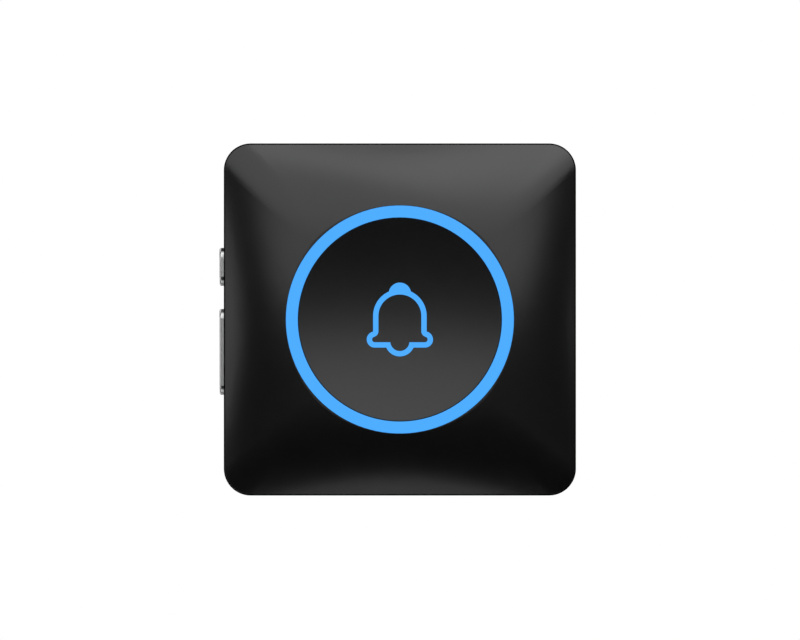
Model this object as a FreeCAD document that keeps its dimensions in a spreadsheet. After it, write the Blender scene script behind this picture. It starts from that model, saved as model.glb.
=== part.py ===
import FreeCAD, Part
import Sketcher
import math
import os

# Doorbell chime that plugs into a wall socket, in millimetres.
# The origin is the middle of the plug's engagement face, between the two pins.
# +X is to the right, +Y goes into the wall and +Z is up, so the front faces -Y.
# "Depth" below is the distance from the engagement face towards the front, which is -Y.

os.makedirs("parts", exist_ok=True)
doc = FreeCAD.newDocument("doorbell_chime")

SIZES = {
    # Case
    "case_side": 80.0,
    "corner_round": 6.1,
    "shell_wall": 2.0,
    "rear_round": 2.5,
    "rear_depth": 4.0,
    "side_depth": 20.0,
    "pillow_rise": 5.2,
    "edge_round": 0.5,
    "lip_height": 1.5,
    "lip_wall": 1.2,
    "lip_gap": 0.15,
    # Lit ring
    "ring_diameter": 51.6,
    "ring_band": 2.6,
    "ring_proud": 0.3,
    "ring_gap": 0.1,
    "ring_seat_drop": 2.2,
    "ring_flange": 2.7,
    "ring_flange_thickness": 1.5,
    "seat_margin": 0.5,
    # Dished disc, which is pressed
    "cap_gap": 0.2,
    "cap_wall": 1.8,
    "cap_skirt": 2.0,
    "cap_flange_reach": 1.4,
    "cap_flange_thickness": 1.2,
    "cap_stop_gap": 0.15,
    "dish_depth": 1.5,
    "post_radius": 2.2,
    "post_length": 4.0,
    # Bell outline
    "bell_stroke": 1.28,
    "bell_dome_radius": 6.12,
    "bell_dome_height": 0.8,
    "bell_side_end": 2.7,
    "bell_lug_radius": 1.87,
    "bell_lug_reach": 5.69,
    "bell_lug_drop": 4.55,
    "bell_knob_radius": 2.58,
    "bell_knob_height": 5.83,
    "bell_clapper_radius": 3.42,
    "bell_clapper_drop": 5.0,
    "inlay_depth": 0.9,
    "inlay_gap": 0.03,
    "light_post_radius": 0.5,
    # Side keys
    "key_width": 4.2,
    "key_depth": 10.0,
    "key_proud": 0.97,
    "key_round": 0.5,
    "key_gap": 0.15,
    "key_flange": 0.9,
    "key_flange_thickness": 0.8,
    "key_flange_gap": 0.45,
    "key_nub_radius": 1.2,
    "key_nub_length": 0.3,
    "melody_length": 8.62,
    "melody_height": 11.95,
    "rocker_length": 19.5,
    "rocker_drop": 7.37,
    "rocker_end_gap": 0.35,
    "rocker_nub_reach": 7.0,
    "rocker_lug_width": 2.6,
    "pivot_setback": 0.85,
    "pivot_radius": 0.6,
    "pivot_running_gap": 0.05,
    "pivot_fit_gap": 0.01,
    "pivot_edge": 0.5,
    "ear_gap": 0.3,
    "ear_thickness": 1.2,
    "ear_width": 3.4,
    "dome_gap": 0.1,
    "dome_height": 1.9,
    "dome_base_radius": 2.6,
    "dome_tip_radius": 1.5,
    "keypad_sheet": 0.6,
    "keypad_width": 7.0,
    "keypad_margin": 2.0,
    "key_board_width": 8.4,
    "key_board_thickness": 1.2,
    "key_board_margin": 1.0,
    "bracket_plate": 1.2,
    "bracket_gap": 0.1,
    "bracket_reach": 3.1,
    "bracket_arm": 1.6,
    "link_pin_radius": 0.3,
    "link_pin_length": 4.3,
    "link_pin_pitch": 2.0,
    # Boards
    "board_thickness": 1.6,
    "board_margin": 9.0,
    "board_corner": 1.5,
    "board_setback": 6.1,
    "board_screw_inset": 4.0,
    "power_board_top_margin": 10.0,
    "power_board_drop": 14.0,
    "power_board_stand": 2.4,
    "power_screw_inset": 3.0,
    # Light box and lamps
    "box_wall": 1.2,
    "box_ring_margin": 1.0,
    "box_inner_margin": 1.2,
    "box_plate": 0.8,
    "box_plate_height": 1.4,
    "box_inner_height": 3.5,
    "box_top_gap": 0.1,
    "tunnel_radius": 10.5,
    "lamp_hole_radius": 1.6,
    "lamp_length": 2.0,
    "lamp_width": 1.25,
    "lamp_height": 0.9,
    "bell_lamp_reach": 5.6,
    "bell_lamp_rise": 5.2,
    "face_dome_base": 3.5,
    "face_dome_tip": 1.9,
    "face_dome_clearance": 0.4,
    # Screws
    "case_screw_inset": 6.5,
    "case_boss_radius": 3.0,
    "case_screw_radius": 1.1,
    "case_screw_length": 10.0,
    "case_head_radius": 2.1,
    "case_head_height": 1.6,
    "well_radius": 2.5,
    "well_depth": 2.0,
    "well_post_radius": 3.6,
    "screw_clearance": 0.2,
    "thread_gap": 0.02,
    "pilot_spare": 1.0,
    "board_boss_radius": 2.2,
    "board_screw_radius": 0.8,
    "board_screw_length": 5.5,
    "board_head_radius": 1.8,
    "board_head_height": 1.2,
    "power_screw_length": 4.8,
    "drive_width": 0.7,
    "drive_depth": 0.7,
    # Plug
    "boss_length": 16.0,
    "boss_width": 35.3,
    "boss_height": 13.7,
    "boss_nose": 5.0,
    "boss_tip": 5.2,
    "boss_wall": 1.8,
    "boss_end_wall": 2.5,
    "pin_pitch": 19.0,
    "pin_radius": 2.0,
    "pin_length": 19.0,
    "pin_core_radius": 1.45,
    "pin_round": 1.6,
    "pin_collar_radius": 2.6,
    "pin_collar": 1.0,
    "sleeve_length": 10.0,
    "sleeve_wall": 0.33,
    "pin_fit_gap": 0.02,
    # Speaker
    "speaker_length": 30.0,
    "speaker_width": 11.0,
    "speaker_height": 4.0,
    "speaker_rim": 2.0,
    "speaker_plate": 1.0,
    "speaker_offset": 7.3,
    "gasket_thickness": 0.8,
    "cone_gap": 0.2,
    "cone_thickness": 0.5,
    "cone_setback": 0.4,
    "magnet_length": 14.0,
    "magnet_width": 8.0,
    "magnet_height": 2.4,
    "speaker_rib": 1.0,
    "speaker_rib_height": 4.0,
    "speaker_rib_gap": 0.2,
    "slot_length": 8.4,
    "slot_width": 1.2,
    "slot_pitch": 3.4,
    "lead_radius": 0.45,
    "lead_rise": 1.6,
    "lead_place": 10.0,
    "lead_pitch": 2.0,
    "socket_length": 6.0,
    "socket_width": 4.4,
    "socket_height": 3.4,
    "lead_tail": 2.6,
    # Header between the boards
    "link_inset": 13.0,
    "link_drop": 7.0,
    "link_pitch": 2.54,
    "link_body_width": 2.5,
    "link_radius": 0.32,
    "link_hole_gap": 0.15,
    "link_fit_gap": 0.01,
    "link_proud": 0.8,
    # Antenna wire
    "antenna_radius": 0.5,
    "antenna_bend": 4.0,
    "antenna_inset": 1.0,
    "antenna_start": 20.0,
    "antenna_end": 4.0,
    "antenna_gap": 0.1,
    # Transformer
    "core_x_share": -0.387,
    "core_z_share": 0.387,
    "core_length": 13.0,
    "core_height": 12.0,
    "core_thickness": 4.0,
    "core_leg": 4.0,
    "core_window": 2.6,
    "core_yoke": 1.9,
    "coil_clearance": 1.1,
    "coil_gap": 0.1,
    # Height of the lit ring's own edges
    "ring_edge_round": 0.2,
}


# Parts on the boards, placed by shares of the main board's half side. Each number is a cell of its own,
# named after the part and the column.
FLAT_COLUMNS = ("x_share", "z_share", "length", "height", "thickness")
MAIN_BOARD_PARTS = {
    "processor_chip": (-0.258, 0.065, 7.0, 7.0, 1.0),
    "memory_chip": (-0.258, -0.29, 5.0, 4.0, 1.6),
    "amplifier_chip": (0.065, -0.452, 4.0, 4.0, 0.9),
    "crystal": (-0.516, 0.065, 3.2, 5.0, 1.2),
    "radio_board": (-0.387, 0.645, 17.0, 12.0, 0.8),
}
RADIO_SHIELD = {"radio_shield": (-0.387, 0.645, 12.0, 9.0, 1.8)}
POWER_BOARD_PARTS = {
    "bridge_rectifier": (-0.097, -0.258, 4.8, 6.0, 1.6),
    "power_chip": (0.0, 0.0, 5.0, 4.0, 1.6),
    "suppression_capacitor": (-0.613, -0.194, 4.5, 10.0, 7.0),
}
ROUND_COLUMNS = ("x_share", "z_share", "radius", "length")
ROUND_PARTS = {
    "upper_capacitor": (0.403, 0.435, 4.0, 11.0),
    "lower_capacitor": (0.403, 0.129, 4.0, 11.0),
    "output_capacitor": (0.645, -0.129, 2.6, 7.5),
    "fuse_resistor": (-0.71, 0.387, 1.6, 9.0),
    "filter_choke": (0.29, -0.258, 3.2, 6.5),
}


class Size:
    """A number together with the sheet formula that gives it, so that plain sums stay bound to the sheet."""

    def __init__(self, number, formula):
        self.number = float(number)
        self.formula = formula

    def __float__(self):
        return self.number

    def __add__(self, other):
        return Size(self.number + float(other), f"({self.formula} + {text(other)})")

    def __radd__(self, other):
        return Size(float(other) + self.number, f"({text(other)} + {self.formula})")

    def __sub__(self, other):
        return Size(self.number - float(other), f"({self.formula} - {text(other)})")

    def __rsub__(self, other):
        return Size(float(other) - self.number, f"({text(other)} - {self.formula})")

    def __mul__(self, other):
        return Size(self.number * float(other), f"({self.formula} * {text(other)})")

    def __rmul__(self, other):
        return Size(float(other) * self.number, f"({text(other)} * {self.formula})")

    def __truediv__(self, other):
        return Size(self.number / float(other), f"({self.formula} / {text(other)})")

    def __neg__(self):
        return Size(-self.number, f"(0 - {self.formula})")


def text(value):
    """The formula of a Size, or the digits of a plain number."""
    return value.formula if isinstance(value, Size) else format(float(value), ".12f")


class Sheet:
    """Holds one Size for every cell of the sheet, under the cell's alias."""


def all_cells():
    """Every cell of the sheet: the sizes, then the parts on the boards."""
    cells = dict(SIZES)
    tables = [(FLAT_COLUMNS, table) for table in (MAIN_BOARD_PARTS, RADIO_SHIELD, POWER_BOARD_PARTS)]
    for columns, table in tables + [(ROUND_COLUMNS, ROUND_PARTS)]:
        for label, numbers in table.items():
            for column, number in zip(columns, numbers):
                cells[f"{label}_{column}"] = number
    return cells


def make_sheet():
    """Write the sizes into the document's sheet and return them by name."""
    sheet = doc.addObject("Spreadsheet::Sheet", "Sizes")
    sizes = Sheet()
    for row, (alias, number) in enumerate(all_cells().items(), start=1):
        sheet.set(f"A{row}", alias)
        sheet.set(f"B{row}", str(number))
        sheet.setAlias(f"B{row}", alias)
        setattr(sizes, alias, Size(number, f"Sizes.{alias}"))
    doc.recompute()
    return sizes


S = make_sheet()
X_AXIS = FreeCAD.Vector(1, 0, 0)
Y_AXIS = FreeCAD.Vector(0, 1, 0)
Z_AXIS = FreeCAD.Vector(0, 0, 1)
FORWARD = FreeCAD.Rotation(X_AXIS, 90)
SIDEWAYS = FreeCAD.Rotation(Y_AXIS, 90)
UPWARD = FreeCAD.Rotation()
SUBPARTS = []


def bind(feature, name, value):
    """Tie a property to the sheet through its formula."""
    feature.setExpression(name, text(value))


def keep(feature, label):
    """Give a finished sub-part its name and put it on the list of files to write."""
    feature.Label = label
    SUBPARTS.append(feature)
    return feature


# Sketches and features of a body

def new_body(name):
    return doc.addObject("PartDesign::Body", name)


def sketch_on(body, role, offset, name):
    """A sketch on one of the body's own origin planes, moved along the plane's normal by an offset."""
    plane = [feature for feature in body.Origin.OriginFeatures if feature.Role == role][0]
    sketch = body.newObject("Sketcher::SketchObject", name)
    sketch.AttachmentSupport = [(plane, "")]
    sketch.MapMode = "FlatFace"
    bind(sketch, "AttachmentOffset.Base.z", offset)
    return sketch


def front_sketch(body, depth, name):
    """A sketch in X and Z that looks forwards, at a depth."""
    return sketch_on(body, "XZ_Plane", depth, name)


def constrain(sketch, kind, *arguments):
    """Add a constraint; a Size as last argument becomes its bound value."""
    value = arguments[-1]
    if not isinstance(value, Size):
        return sketch.addConstraint(Sketcher.Constraint(kind, *arguments))
    index = sketch.addConstraint(Sketcher.Constraint(kind, *arguments[:-1], float(value)))
    sketch.setExpression(f"Constraints[{index}]", value.formula)
    return index


def place(sketch, shape, point, x, y):
    """Hold a point of a shape at x and y from the sketch's origin."""
    for kind, axis, value in (("DistanceX", -2, x), ("DistanceY", -1, y)):
        if float(value) == 0.0:
            constrain(sketch, "PointOnObject", shape, point, axis)
        else:
            constrain(sketch, kind, -1, 1, shape, point, value)


def spot(x, y):
    return FreeCAD.Vector(float(x), float(y), 0)


def circle(sketch, x, y, radius):
    shape = sketch.addGeometry(Part.Circle(spot(x, y), Z_AXIS, float(radius)))
    constrain(sketch, "Radius", shape, radius)
    place(sketch, shape, 3, x, y)


def polygon(sketch, corners):
    """A closed outline of straight lines, with each corner held where the formulas put it."""
    count = len(corners)
    for index, corner in enumerate(corners):
        following = corners[(index + 1) % count]
        sketch.addGeometry(Part.LineSegment(spot(*corner), spot(*following)))
    first = sketch.GeometryCount - count
    for index, corner in enumerate(corners):
        following = first + (index + 1) % count
        constrain(sketch, "Coincident", first + index, 2, following, 1)
        place(sketch, first + index, 1, *corner)


def rectangle(sketch, left, right, bottom, top):
    polygon(sketch, [(left, bottom), (right, bottom), (right, top), (left, top)])


def arc(x, y, radius, start, end):
    """A part of a circle from one angle to another, in degrees, anticlockwise."""
    whole = Part.Circle(spot(x, y), Z_AXIS, float(radius))
    return Part.ArcOfCircle(whole, math.radians(start), math.radians(end))


def rounded(sketch, x, y, half_width, half_height, corner):
    """A rectangle with round corners about the point x, y."""
    across = half_width - corner
    up = half_height - corner
    right, left = x + across, x - across
    top, bottom = y + up, y - up
    arcs = [
        sketch.addGeometry(arc(right, top, corner, 0, 90)),
        sketch.addGeometry(arc(left, top, corner, 90, 180)),
        sketch.addGeometry(arc(left, bottom, corner, 180, 270)),
        sketch.addGeometry(arc(right, bottom, corner, 270, 360)),
    ]
    sides = [
        (spot(right, y + half_height), spot(left, y + half_height), "Horizontal"),
        (spot(x - half_width, top), spot(x - half_width, bottom), "Vertical"),
        (spot(left, y - half_height), spot(right, y - half_height), "Horizontal"),
        (spot(x + half_width, bottom), spot(x + half_width, top), "Vertical"),
    ]
    for index, (start, end, direction) in enumerate(sides):
        line = sketch.addGeometry(Part.LineSegment(start, end))
        constrain(sketch, "Tangent", arcs[index], 2, line, 1)
        constrain(sketch, "Tangent", line, 2, arcs[(index + 1) % 4], 1)
        constrain(sketch, direction, line)
    constrain(sketch, "Radius", arcs[0], corner)
    for other in arcs[1:]:
        constrain(sketch, "Equal", arcs[0], other)
    place(sketch, arcs[0], 3, right, top)
    place(sketch, arcs[2], 3, left, bottom)


def bowed(sketch, half, reach, corner):
    """A square with round corners and sides that bow out; half and reach are along its axes and diagonals."""
    centre = (reach - corner) / math.sqrt(2)
    gap = half - centre
    side = (gap * gap + centre * centre - corner * corner) / (2 * (gap - corner))
    back = half - side
    turn = math.degrees(math.atan2(float(centre), float(centre - back)))
    sides = []
    rounds = []
    for quarter, (x, y) in enumerate([(back, 0), (0, back), (-back, 0), (0, -back)]):
        start = 90 * quarter
        sides.append(sketch.addGeometry(arc(x, y, side, start - turn, start + turn)))
    for quarter, (x, y) in enumerate(corners(centre, centre)):
        start = 90 * quarter
        rounds.append(sketch.addGeometry(arc(x, y, corner, start + turn, start + 90 - turn)))
        place(sketch, rounds[-1], 3, x, y)
        constrain(sketch, "Radius", rounds[-1], corner)
    for quarter in range(4):
        constrain(sketch, "Tangent", sides[quarter], 2, rounds[quarter], 1)
        constrain(sketch, "Tangent", rounds[quarter], 2, sides[(quarter + 1) % 4], 1)
        constrain(sketch, "Radius", sides[quarter], side)


def pill(sketch, x, y, half_length, radius, upright=True):
    """A slot shape with full round ends about the point x, y."""
    reach = half_length - radius
    if upright:
        first, second, turn = (x, y + reach), (x, y - reach), 0
    else:
        first, second, turn = (x + reach, y), (x - reach, y), 90
    head = sketch.addGeometry(arc(*first, radius, 0 - turn, 180 - turn))
    tail = sketch.addGeometry(arc(*second, radius, 180 - turn, 360 - turn))
    ends = [sketch.getPoint(shape, point) for shape, point in ((head, 2), (tail, 1), (tail, 2), (head, 1))]
    left = sketch.addGeometry(Part.LineSegment(ends[0], ends[1]))
    right = sketch.addGeometry(Part.LineSegment(ends[2], ends[3]))
    constrain(sketch, "Tangent", head, 2, left, 1)
    constrain(sketch, "Tangent", left, 2, tail, 1)
    constrain(sketch, "Tangent", tail, 2, right, 1)
    constrain(sketch, "Tangent", right, 2, head, 1)
    constrain(sketch, "Radius", head, radius)
    constrain(sketch, "Equal", head, tail)
    place(sketch, head, 3, *first)
    place(sketch, tail, 3, *second)


def feature(body, kind, profile, name):
    """A sketch-based feature of a body."""
    made = body.newObject(f"PartDesign::{kind}", name)
    made.Profile = profile
    return made


def pad(body, sketch, length, name, backwards=False):
    """Solid from a sketch along its normal, or against it."""
    made = feature(body, "Pad", sketch, name)
    bind(made, "Length", length)
    made.Reversed = backwards
    return made


def pocket(body, sketch, length, name, backwards=False):
    """Cut from a sketch along its normal, or against it."""
    made = feature(body, "Pocket", sketch, name)
    bind(made, "Length", length)
    made.Reversed = not backwards
    return made


def revolve(body, sketch, name):
    """Solid turned about the body's own Y axis, from a sketch in X and Y."""
    made = feature(body, "Revolution", sketch, name)
    made.ReferenceAxis = (sketch, ["V_Axis"])
    made.Angle = 360
    return made


def loft(body, sections, kind, name):
    """A smooth skin through sections, added or taken away."""
    made = feature(body, kind, sections[0], name)
    made.Sections = sections[1:]
    made.Ruled = False
    return made


def fillet(body, base, radius, wanted, name):
    """Round every edge of a feature that the test picks."""
    doc.recompute()
    names = [f"Edge{index}" for index, edge in enumerate(base.Shape.Edges, start=1) if wanted(edge)]
    made = body.newObject("PartDesign::Fillet", name)
    made.Base = (base, names)
    bind(made, "Radius", radius)
    return made


def at_depth(depth, tolerance=0.01):
    """A test that picks the edges lying wholly in one plane across Y."""
    level = -float(depth)
    return lambda edge: edge.BoundBox.YLength < tolerance and abs(edge.BoundBox.YMin - level) < tolerance


# Solids of the Part workbench

def primitive(kind, name, base, turn, **sizes):
    made = doc.addObject(f"Part::{kind}", name)
    for size, value in sizes.items():
        bind(made, size, value)
    made.Placement = FreeCAD.Placement(FreeCAD.Vector(), turn)
    for direction, value in zip("xyz", base):
        bind(made, f"Placement.Base.{direction}", value)
    return made


def block(name, x, depth, z):
    """A box between two values of x, two depths and two heights."""
    base = (x[0], -depth[1], z[0])
    sizes = {"Length": x[1] - x[0], "Width": depth[1] - depth[0], "Height": z[1] - z[0]}
    return primitive("Box", name, base, UPWARD, **sizes)


def rod(name, radius, x, depth, z, direction="depth"):
    """A round rod: the coordinate along its direction is a pair of ends, the others its centre."""
    turn = {"depth": FORWARD, "x": SIDEWAYS, "z": UPWARD}[direction]
    ends = {"depth": depth, "x": x, "z": z}[direction]
    base = {
        "depth": lambda: (x, -depth[0], z),
        "x": lambda: (x[0], -depth, z),
        "z": lambda: (x, -depth, z[0]),
    }[direction]()
    return primitive("Cylinder", name, base, turn, Radius=radius, Height=ends[1] - ends[0])


def cone(name, radii, x, depth, z, direction="depth"):
    """A cone whose first radius is at the first end."""
    turn = {"depth": FORWARD, "x": SIDEWAYS}[direction]
    ends = {"depth": depth, "x": x}[direction]
    base = (x, -depth[0], z) if direction == "depth" else (x[0], -depth, z)
    sizes = {"Radius1": radii[0], "Radius2": radii[1], "Height": ends[1] - ends[0]}
    return primitive("Cone", name, base, turn, **sizes)


def fuse(name, solids):
    made = doc.addObject("Part::MultiFuse", name)
    made.Shapes = solids
    return made


def cut(name, base, tools):
    """A solid less one or more others."""
    made = doc.addObject("Part::Cut", name)
    made.Base = base
    made.Tool = tools[0] if len(tools) == 1 else fuse(f"{name}_tools", tools)
    return made


def common(name, first, second):
    made = doc.addObject("Part::Common", name)
    made.Base = first
    made.Tool = second
    return made


def group(name, solids):
    """Separate solids of one kind in one node."""
    made = doc.addObject("Part::Compound", name)
    made.Links = solids
    return made


def corners(x, z):
    """The four points of a rectangle about the middle."""
    return [(x, z), (-x, z), (-x, -z), (x, -z)]


# Places that several pieces share

case_half = S.case_side / 2
inner_half = case_half - S.shell_wall
inner_corner = S.corner_round - S.shell_wall
back_depth = S.boss_length
floor_depth = back_depth + S.shell_wall
split_depth = back_depth + S.rear_depth
edge_depth = split_depth + S.side_depth
crest_depth = edge_depth + S.pillow_rise
seat_depth = crest_depth - S.ring_seat_drop

ring_radius = S.ring_diameter / 2
ring_inner = ring_radius - S.ring_band
ring_middle = ring_radius - S.ring_band / 2
ring_front = crest_depth + S.ring_proud
ring_back = seat_depth - S.ring_flange_thickness
ring_flange_radius = ring_radius + S.ring_flange

cap_radius = ring_inner - S.cap_gap
cap_rim = crest_depth
cap_back = cap_rim - S.dish_depth - S.cap_wall
cap_flange_radius = ring_inner + S.cap_flange_reach
cap_flange_front = ring_back - S.cap_stop_gap
cap_flange_back = cap_flange_front - S.cap_flange_thickness
post_end = cap_back - S.post_length
dish_radius = (cap_radius * cap_radius + S.dish_depth * S.dish_depth) / (2 * S.dish_depth)
dish_centre = cap_rim - S.dish_depth + dish_radius

board_front = ring_back - S.board_setback
board_back = board_front - S.board_thickness
board_half = case_half - S.board_margin
board_screw_place = board_half - S.board_screw_inset
case_screw_place = case_half - S.case_screw_inset

key_middle = split_depth + S.key_depth
key_radius = S.key_width / 2
key_face = -(case_half + S.key_proud)
flange_face = -(inner_half - S.key_flange_gap)
flange_back = flange_face + S.key_flange_thickness
nub_end = flange_back + S.key_nub_length
pivot_x = flange_back + S.pivot_setback
pivot_bore = S.pivot_radius + S.pivot_running_gap
pivot_end = pivot_x + pivot_bore + S.pivot_edge
dome_tip_x = nub_end + S.dome_gap
sheet_face = dome_tip_x + S.dome_height
sheet_back = sheet_face + S.keypad_sheet
key_board_back = sheet_back + S.key_board_thickness
bracket_front = key_board_back + S.bracket_gap
bracket_back = bracket_front + S.bracket_plate
bracket_depth = (key_middle - S.bracket_reach, board_back - 2 * S.link_pin_radius - S.bracket_gap)
rocker_middle = -S.rocker_drop
keypad_top = S.melody_height + S.melody_length / 2 + S.keypad_margin
keypad_bottom = rocker_middle - S.rocker_length / 2 - S.keypad_margin
key_board_top = keypad_top + S.key_board_margin
key_board_bottom = keypad_bottom - S.key_board_margin

power_back = floor_depth + S.power_board_stand
power_front = power_back + S.board_thickness
power_top = case_half - S.power_board_top_margin
power_bottom = -S.power_board_drop
power_screw_x = board_half - S.power_screw_inset
power_screw_places = [
    (side * power_screw_x, height)
    for height in (power_top - S.power_screw_inset, power_bottom + S.power_screw_inset)
    for side in (1, -1)
]

speaker_middle = split_depth + S.speaker_offset
speaker_face = -inner_half + S.gasket_thickness
speaker_back = speaker_face + S.speaker_height
lead_depth = board_back - S.socket_height / 2
lead_bend = (lead_depth - speaker_middle) / 2
lead_low = speaker_back + S.lead_rise
lead_high = lead_low + 2 * lead_bend
lead_end = lead_high + S.lead_tail

pin_places = (-S.pin_pitch / 2, S.pin_pitch / 2)
pin_bore = S.pin_core_radius + S.pin_fit_gap
sleeve_radius = pin_bore + S.sleeve_wall
link_places = [board_half - S.link_inset + (index - 1.5) * S.link_pitch for index in range(4)]
link_height = board_half - S.link_drop


# Case

def pillow_share(along):
    """Share of the pillow's rise at a share of the way in: steep at the edge, shallow at the ring."""
    steepness = 0.6
    return (1 - steepness) * along + steepness * (1 - (1 - along) ** 2)


def pillow_sections(body, name, steps, start, end):
    """Sections from a rounded square nearly to a circle, running evenly inwards in every direction.

    start is depth, half side and corner; end is depth and half side.
    """
    nearly_round = 0.97
    first_reach = (start[1] - start[2]) * math.sqrt(2) + start[2]
    bend = first_reach * first_reach / start[2] - first_reach
    round_radius = (end[1] - start[1] * (1 - nearly_round)) / nearly_round
    sections = []
    for index in range(steps + 1):
        share = nearly_round * index / steps
        depth = start[0] + (end[0] - start[0]) * pillow_share(index / steps)
        half = start[1] * (1 - share) + round_radius * share
        reach = first_reach * (1 - share) + round_radius * share
        sketch = front_sketch(body, depth, f"{name}_{index}")
        if index == 0:
            rounded(sketch, 0, 0, start[1], start[1], start[2])
        else:
            bowed(sketch, half, reach, reach * reach / (reach + bend * (1 - share)))
        sections.append(sketch)
    return sections


def make_front_shell():
    """Pillow-shaped front with the ring's opening, the key holes, screw bosses and sound slots."""
    body = new_body("front_shell_body")
    sides = front_sketch(body, split_depth, "side_outline")
    rounded(sides, 0, 0, case_half, case_half, S.corner_round)
    pad(body, sides, S.side_depth, "side_walls")
    top_half = ring_radius + S.cap_gap
    outer = pillow_sections(
        body, "pillow", 6,
        (edge_depth, case_half, S.corner_round),
        (crest_depth, top_half),
    )
    pillow = loft(body, outer, "AdditiveLoft", "pillow_front")
    fillet(body, pillow, S.edge_round, at_depth(edge_depth), "edge_rounding")

    well = front_sketch(body, split_depth, "inner_outline")
    rounded(well, 0, 0, inner_half, inner_half, inner_corner)
    pocket(body, well, S.side_depth - S.shell_wall, "inner_space")
    seat_half = ring_flange_radius + S.seat_margin
    inner = pillow_sections(
        body, "hollow", 4,
        (edge_depth - S.shell_wall, inner_half, inner_corner),
        (seat_depth, seat_half),
    )
    loft(body, inner, "SubtractiveLoft", "inner_pillow")

    case_bosses = front_sketch(body, split_depth, "case_boss_outline")
    case_pilots = front_sketch(body, split_depth, "case_pilot_outline")
    for x, z in corners(case_screw_place, case_screw_place):
        circle(case_bosses, x, z, S.case_boss_radius)
        circle(case_pilots, x, z, S.case_screw_radius + S.thread_gap)
    pad(body, case_bosses, S.side_depth, "case_bosses")
    case_pilot = floor_depth + S.case_screw_length + S.pilot_spare - split_depth
    pocket(body, case_pilots, case_pilot, "case_pilots")

    board_bosses = front_sketch(body, board_front, "board_boss_outline")
    board_pilots = front_sketch(body, board_front, "board_pilot_outline")
    for x, z in corners(board_screw_place, board_screw_place):
        circle(board_bosses, x, z, S.board_boss_radius)
        circle(board_pilots, x, z, S.board_screw_radius + S.thread_gap)
    pad(body, board_bosses, seat_depth - board_front, "board_bosses")
    board_pilot = S.board_screw_length - S.board_thickness + S.pilot_spare
    pocket(body, board_pilots, board_pilot, "board_pilots")

    opening = front_sketch(body, ring_back, "ring_opening_outline")
    circle(opening, 0, 0, ring_radius + S.ring_gap)
    pocket(body, opening, ring_front - ring_back + S.pillow_rise, "ring_opening")

    ear_reach = S.key_width / 2 + S.key_flange + S.ear_gap
    ear_starts = {"rear": key_middle - ear_reach - S.ear_thickness, "front": key_middle + ear_reach}
    for side, start in ear_starts.items():
        ear = front_sketch(body, start, f"{side}_ear_outline")
        half_width = S.ear_width / 2
        rectangle(ear, -case_half + S.shell_wall / 2, pivot_end, rocker_middle - half_width,
                  rocker_middle + half_width)
        pad(body, ear, S.ear_thickness, f"{side}_ear")
    pivot = front_sketch(body, split_depth, "pivot_hole_outline")
    circle(pivot, pivot_x, rocker_middle, S.pivot_radius + S.pivot_fit_gap)
    pocket(body, pivot, S.side_depth - S.shell_wall, "pivot_holes")

    keys = sketch_on(body, "YZ_Plane", -inner_half + S.shell_wall / 2, "key_hole_outline")
    pill(keys, -key_middle, S.melody_height, S.melody_length / 2 + S.key_gap, key_radius + S.key_gap)
    pill(keys, -key_middle, rocker_middle, S.rocker_length / 2 + S.rocker_end_gap, key_radius + S.key_gap)
    pocket(body, keys, 2 * S.shell_wall, "key_holes", backwards=True)

    ribs = sketch_on(body, "XY_Plane", -inner_half - S.shell_wall / 2, "speaker_rib_outline")
    rib_start = S.speaker_length / 2 + S.speaker_rib_gap
    rib_half = S.speaker_width / 2
    for left, right in ((rib_start, rib_start + S.speaker_rib), (-rib_start - S.speaker_rib, -rib_start)):
        rectangle(ribs, left, right, -speaker_middle - rib_half, -speaker_middle + rib_half)
    pad(body, ribs, S.shell_wall / 2 + S.speaker_rib_height, "speaker_ribs")

    slots = sketch_on(body, "XY_Plane", -case_half - S.shell_wall / 2, "sound_slot_outline")
    for index in range(-3, 4):
        pill(slots, index * S.slot_pitch, -speaker_middle, S.slot_length / 2, S.slot_width / 2)
    pocket(body, slots, 2 * S.shell_wall, "sound_slots")
    return keep(body, "front_shell")

def boss_outline(sketch, wall):
    """The plug boss's long hexagon with blunt ends, drawn in by a wall."""
    blunt = 0.45
    half_width = S.boss_width / 2 - wall
    half_height = S.boss_height / 2 - wall
    shoulder = half_width - S.boss_nose
    tip = S.boss_tip / 2 - wall * blunt
    polygon(sketch, [
        (half_width, tip), (shoulder, half_height), (-shoulder, half_height), (-half_width, tip),
        (-half_width, -tip), (-shoulder, -half_height), (shoulder, -half_height), (half_width, -tip),
    ])


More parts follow.
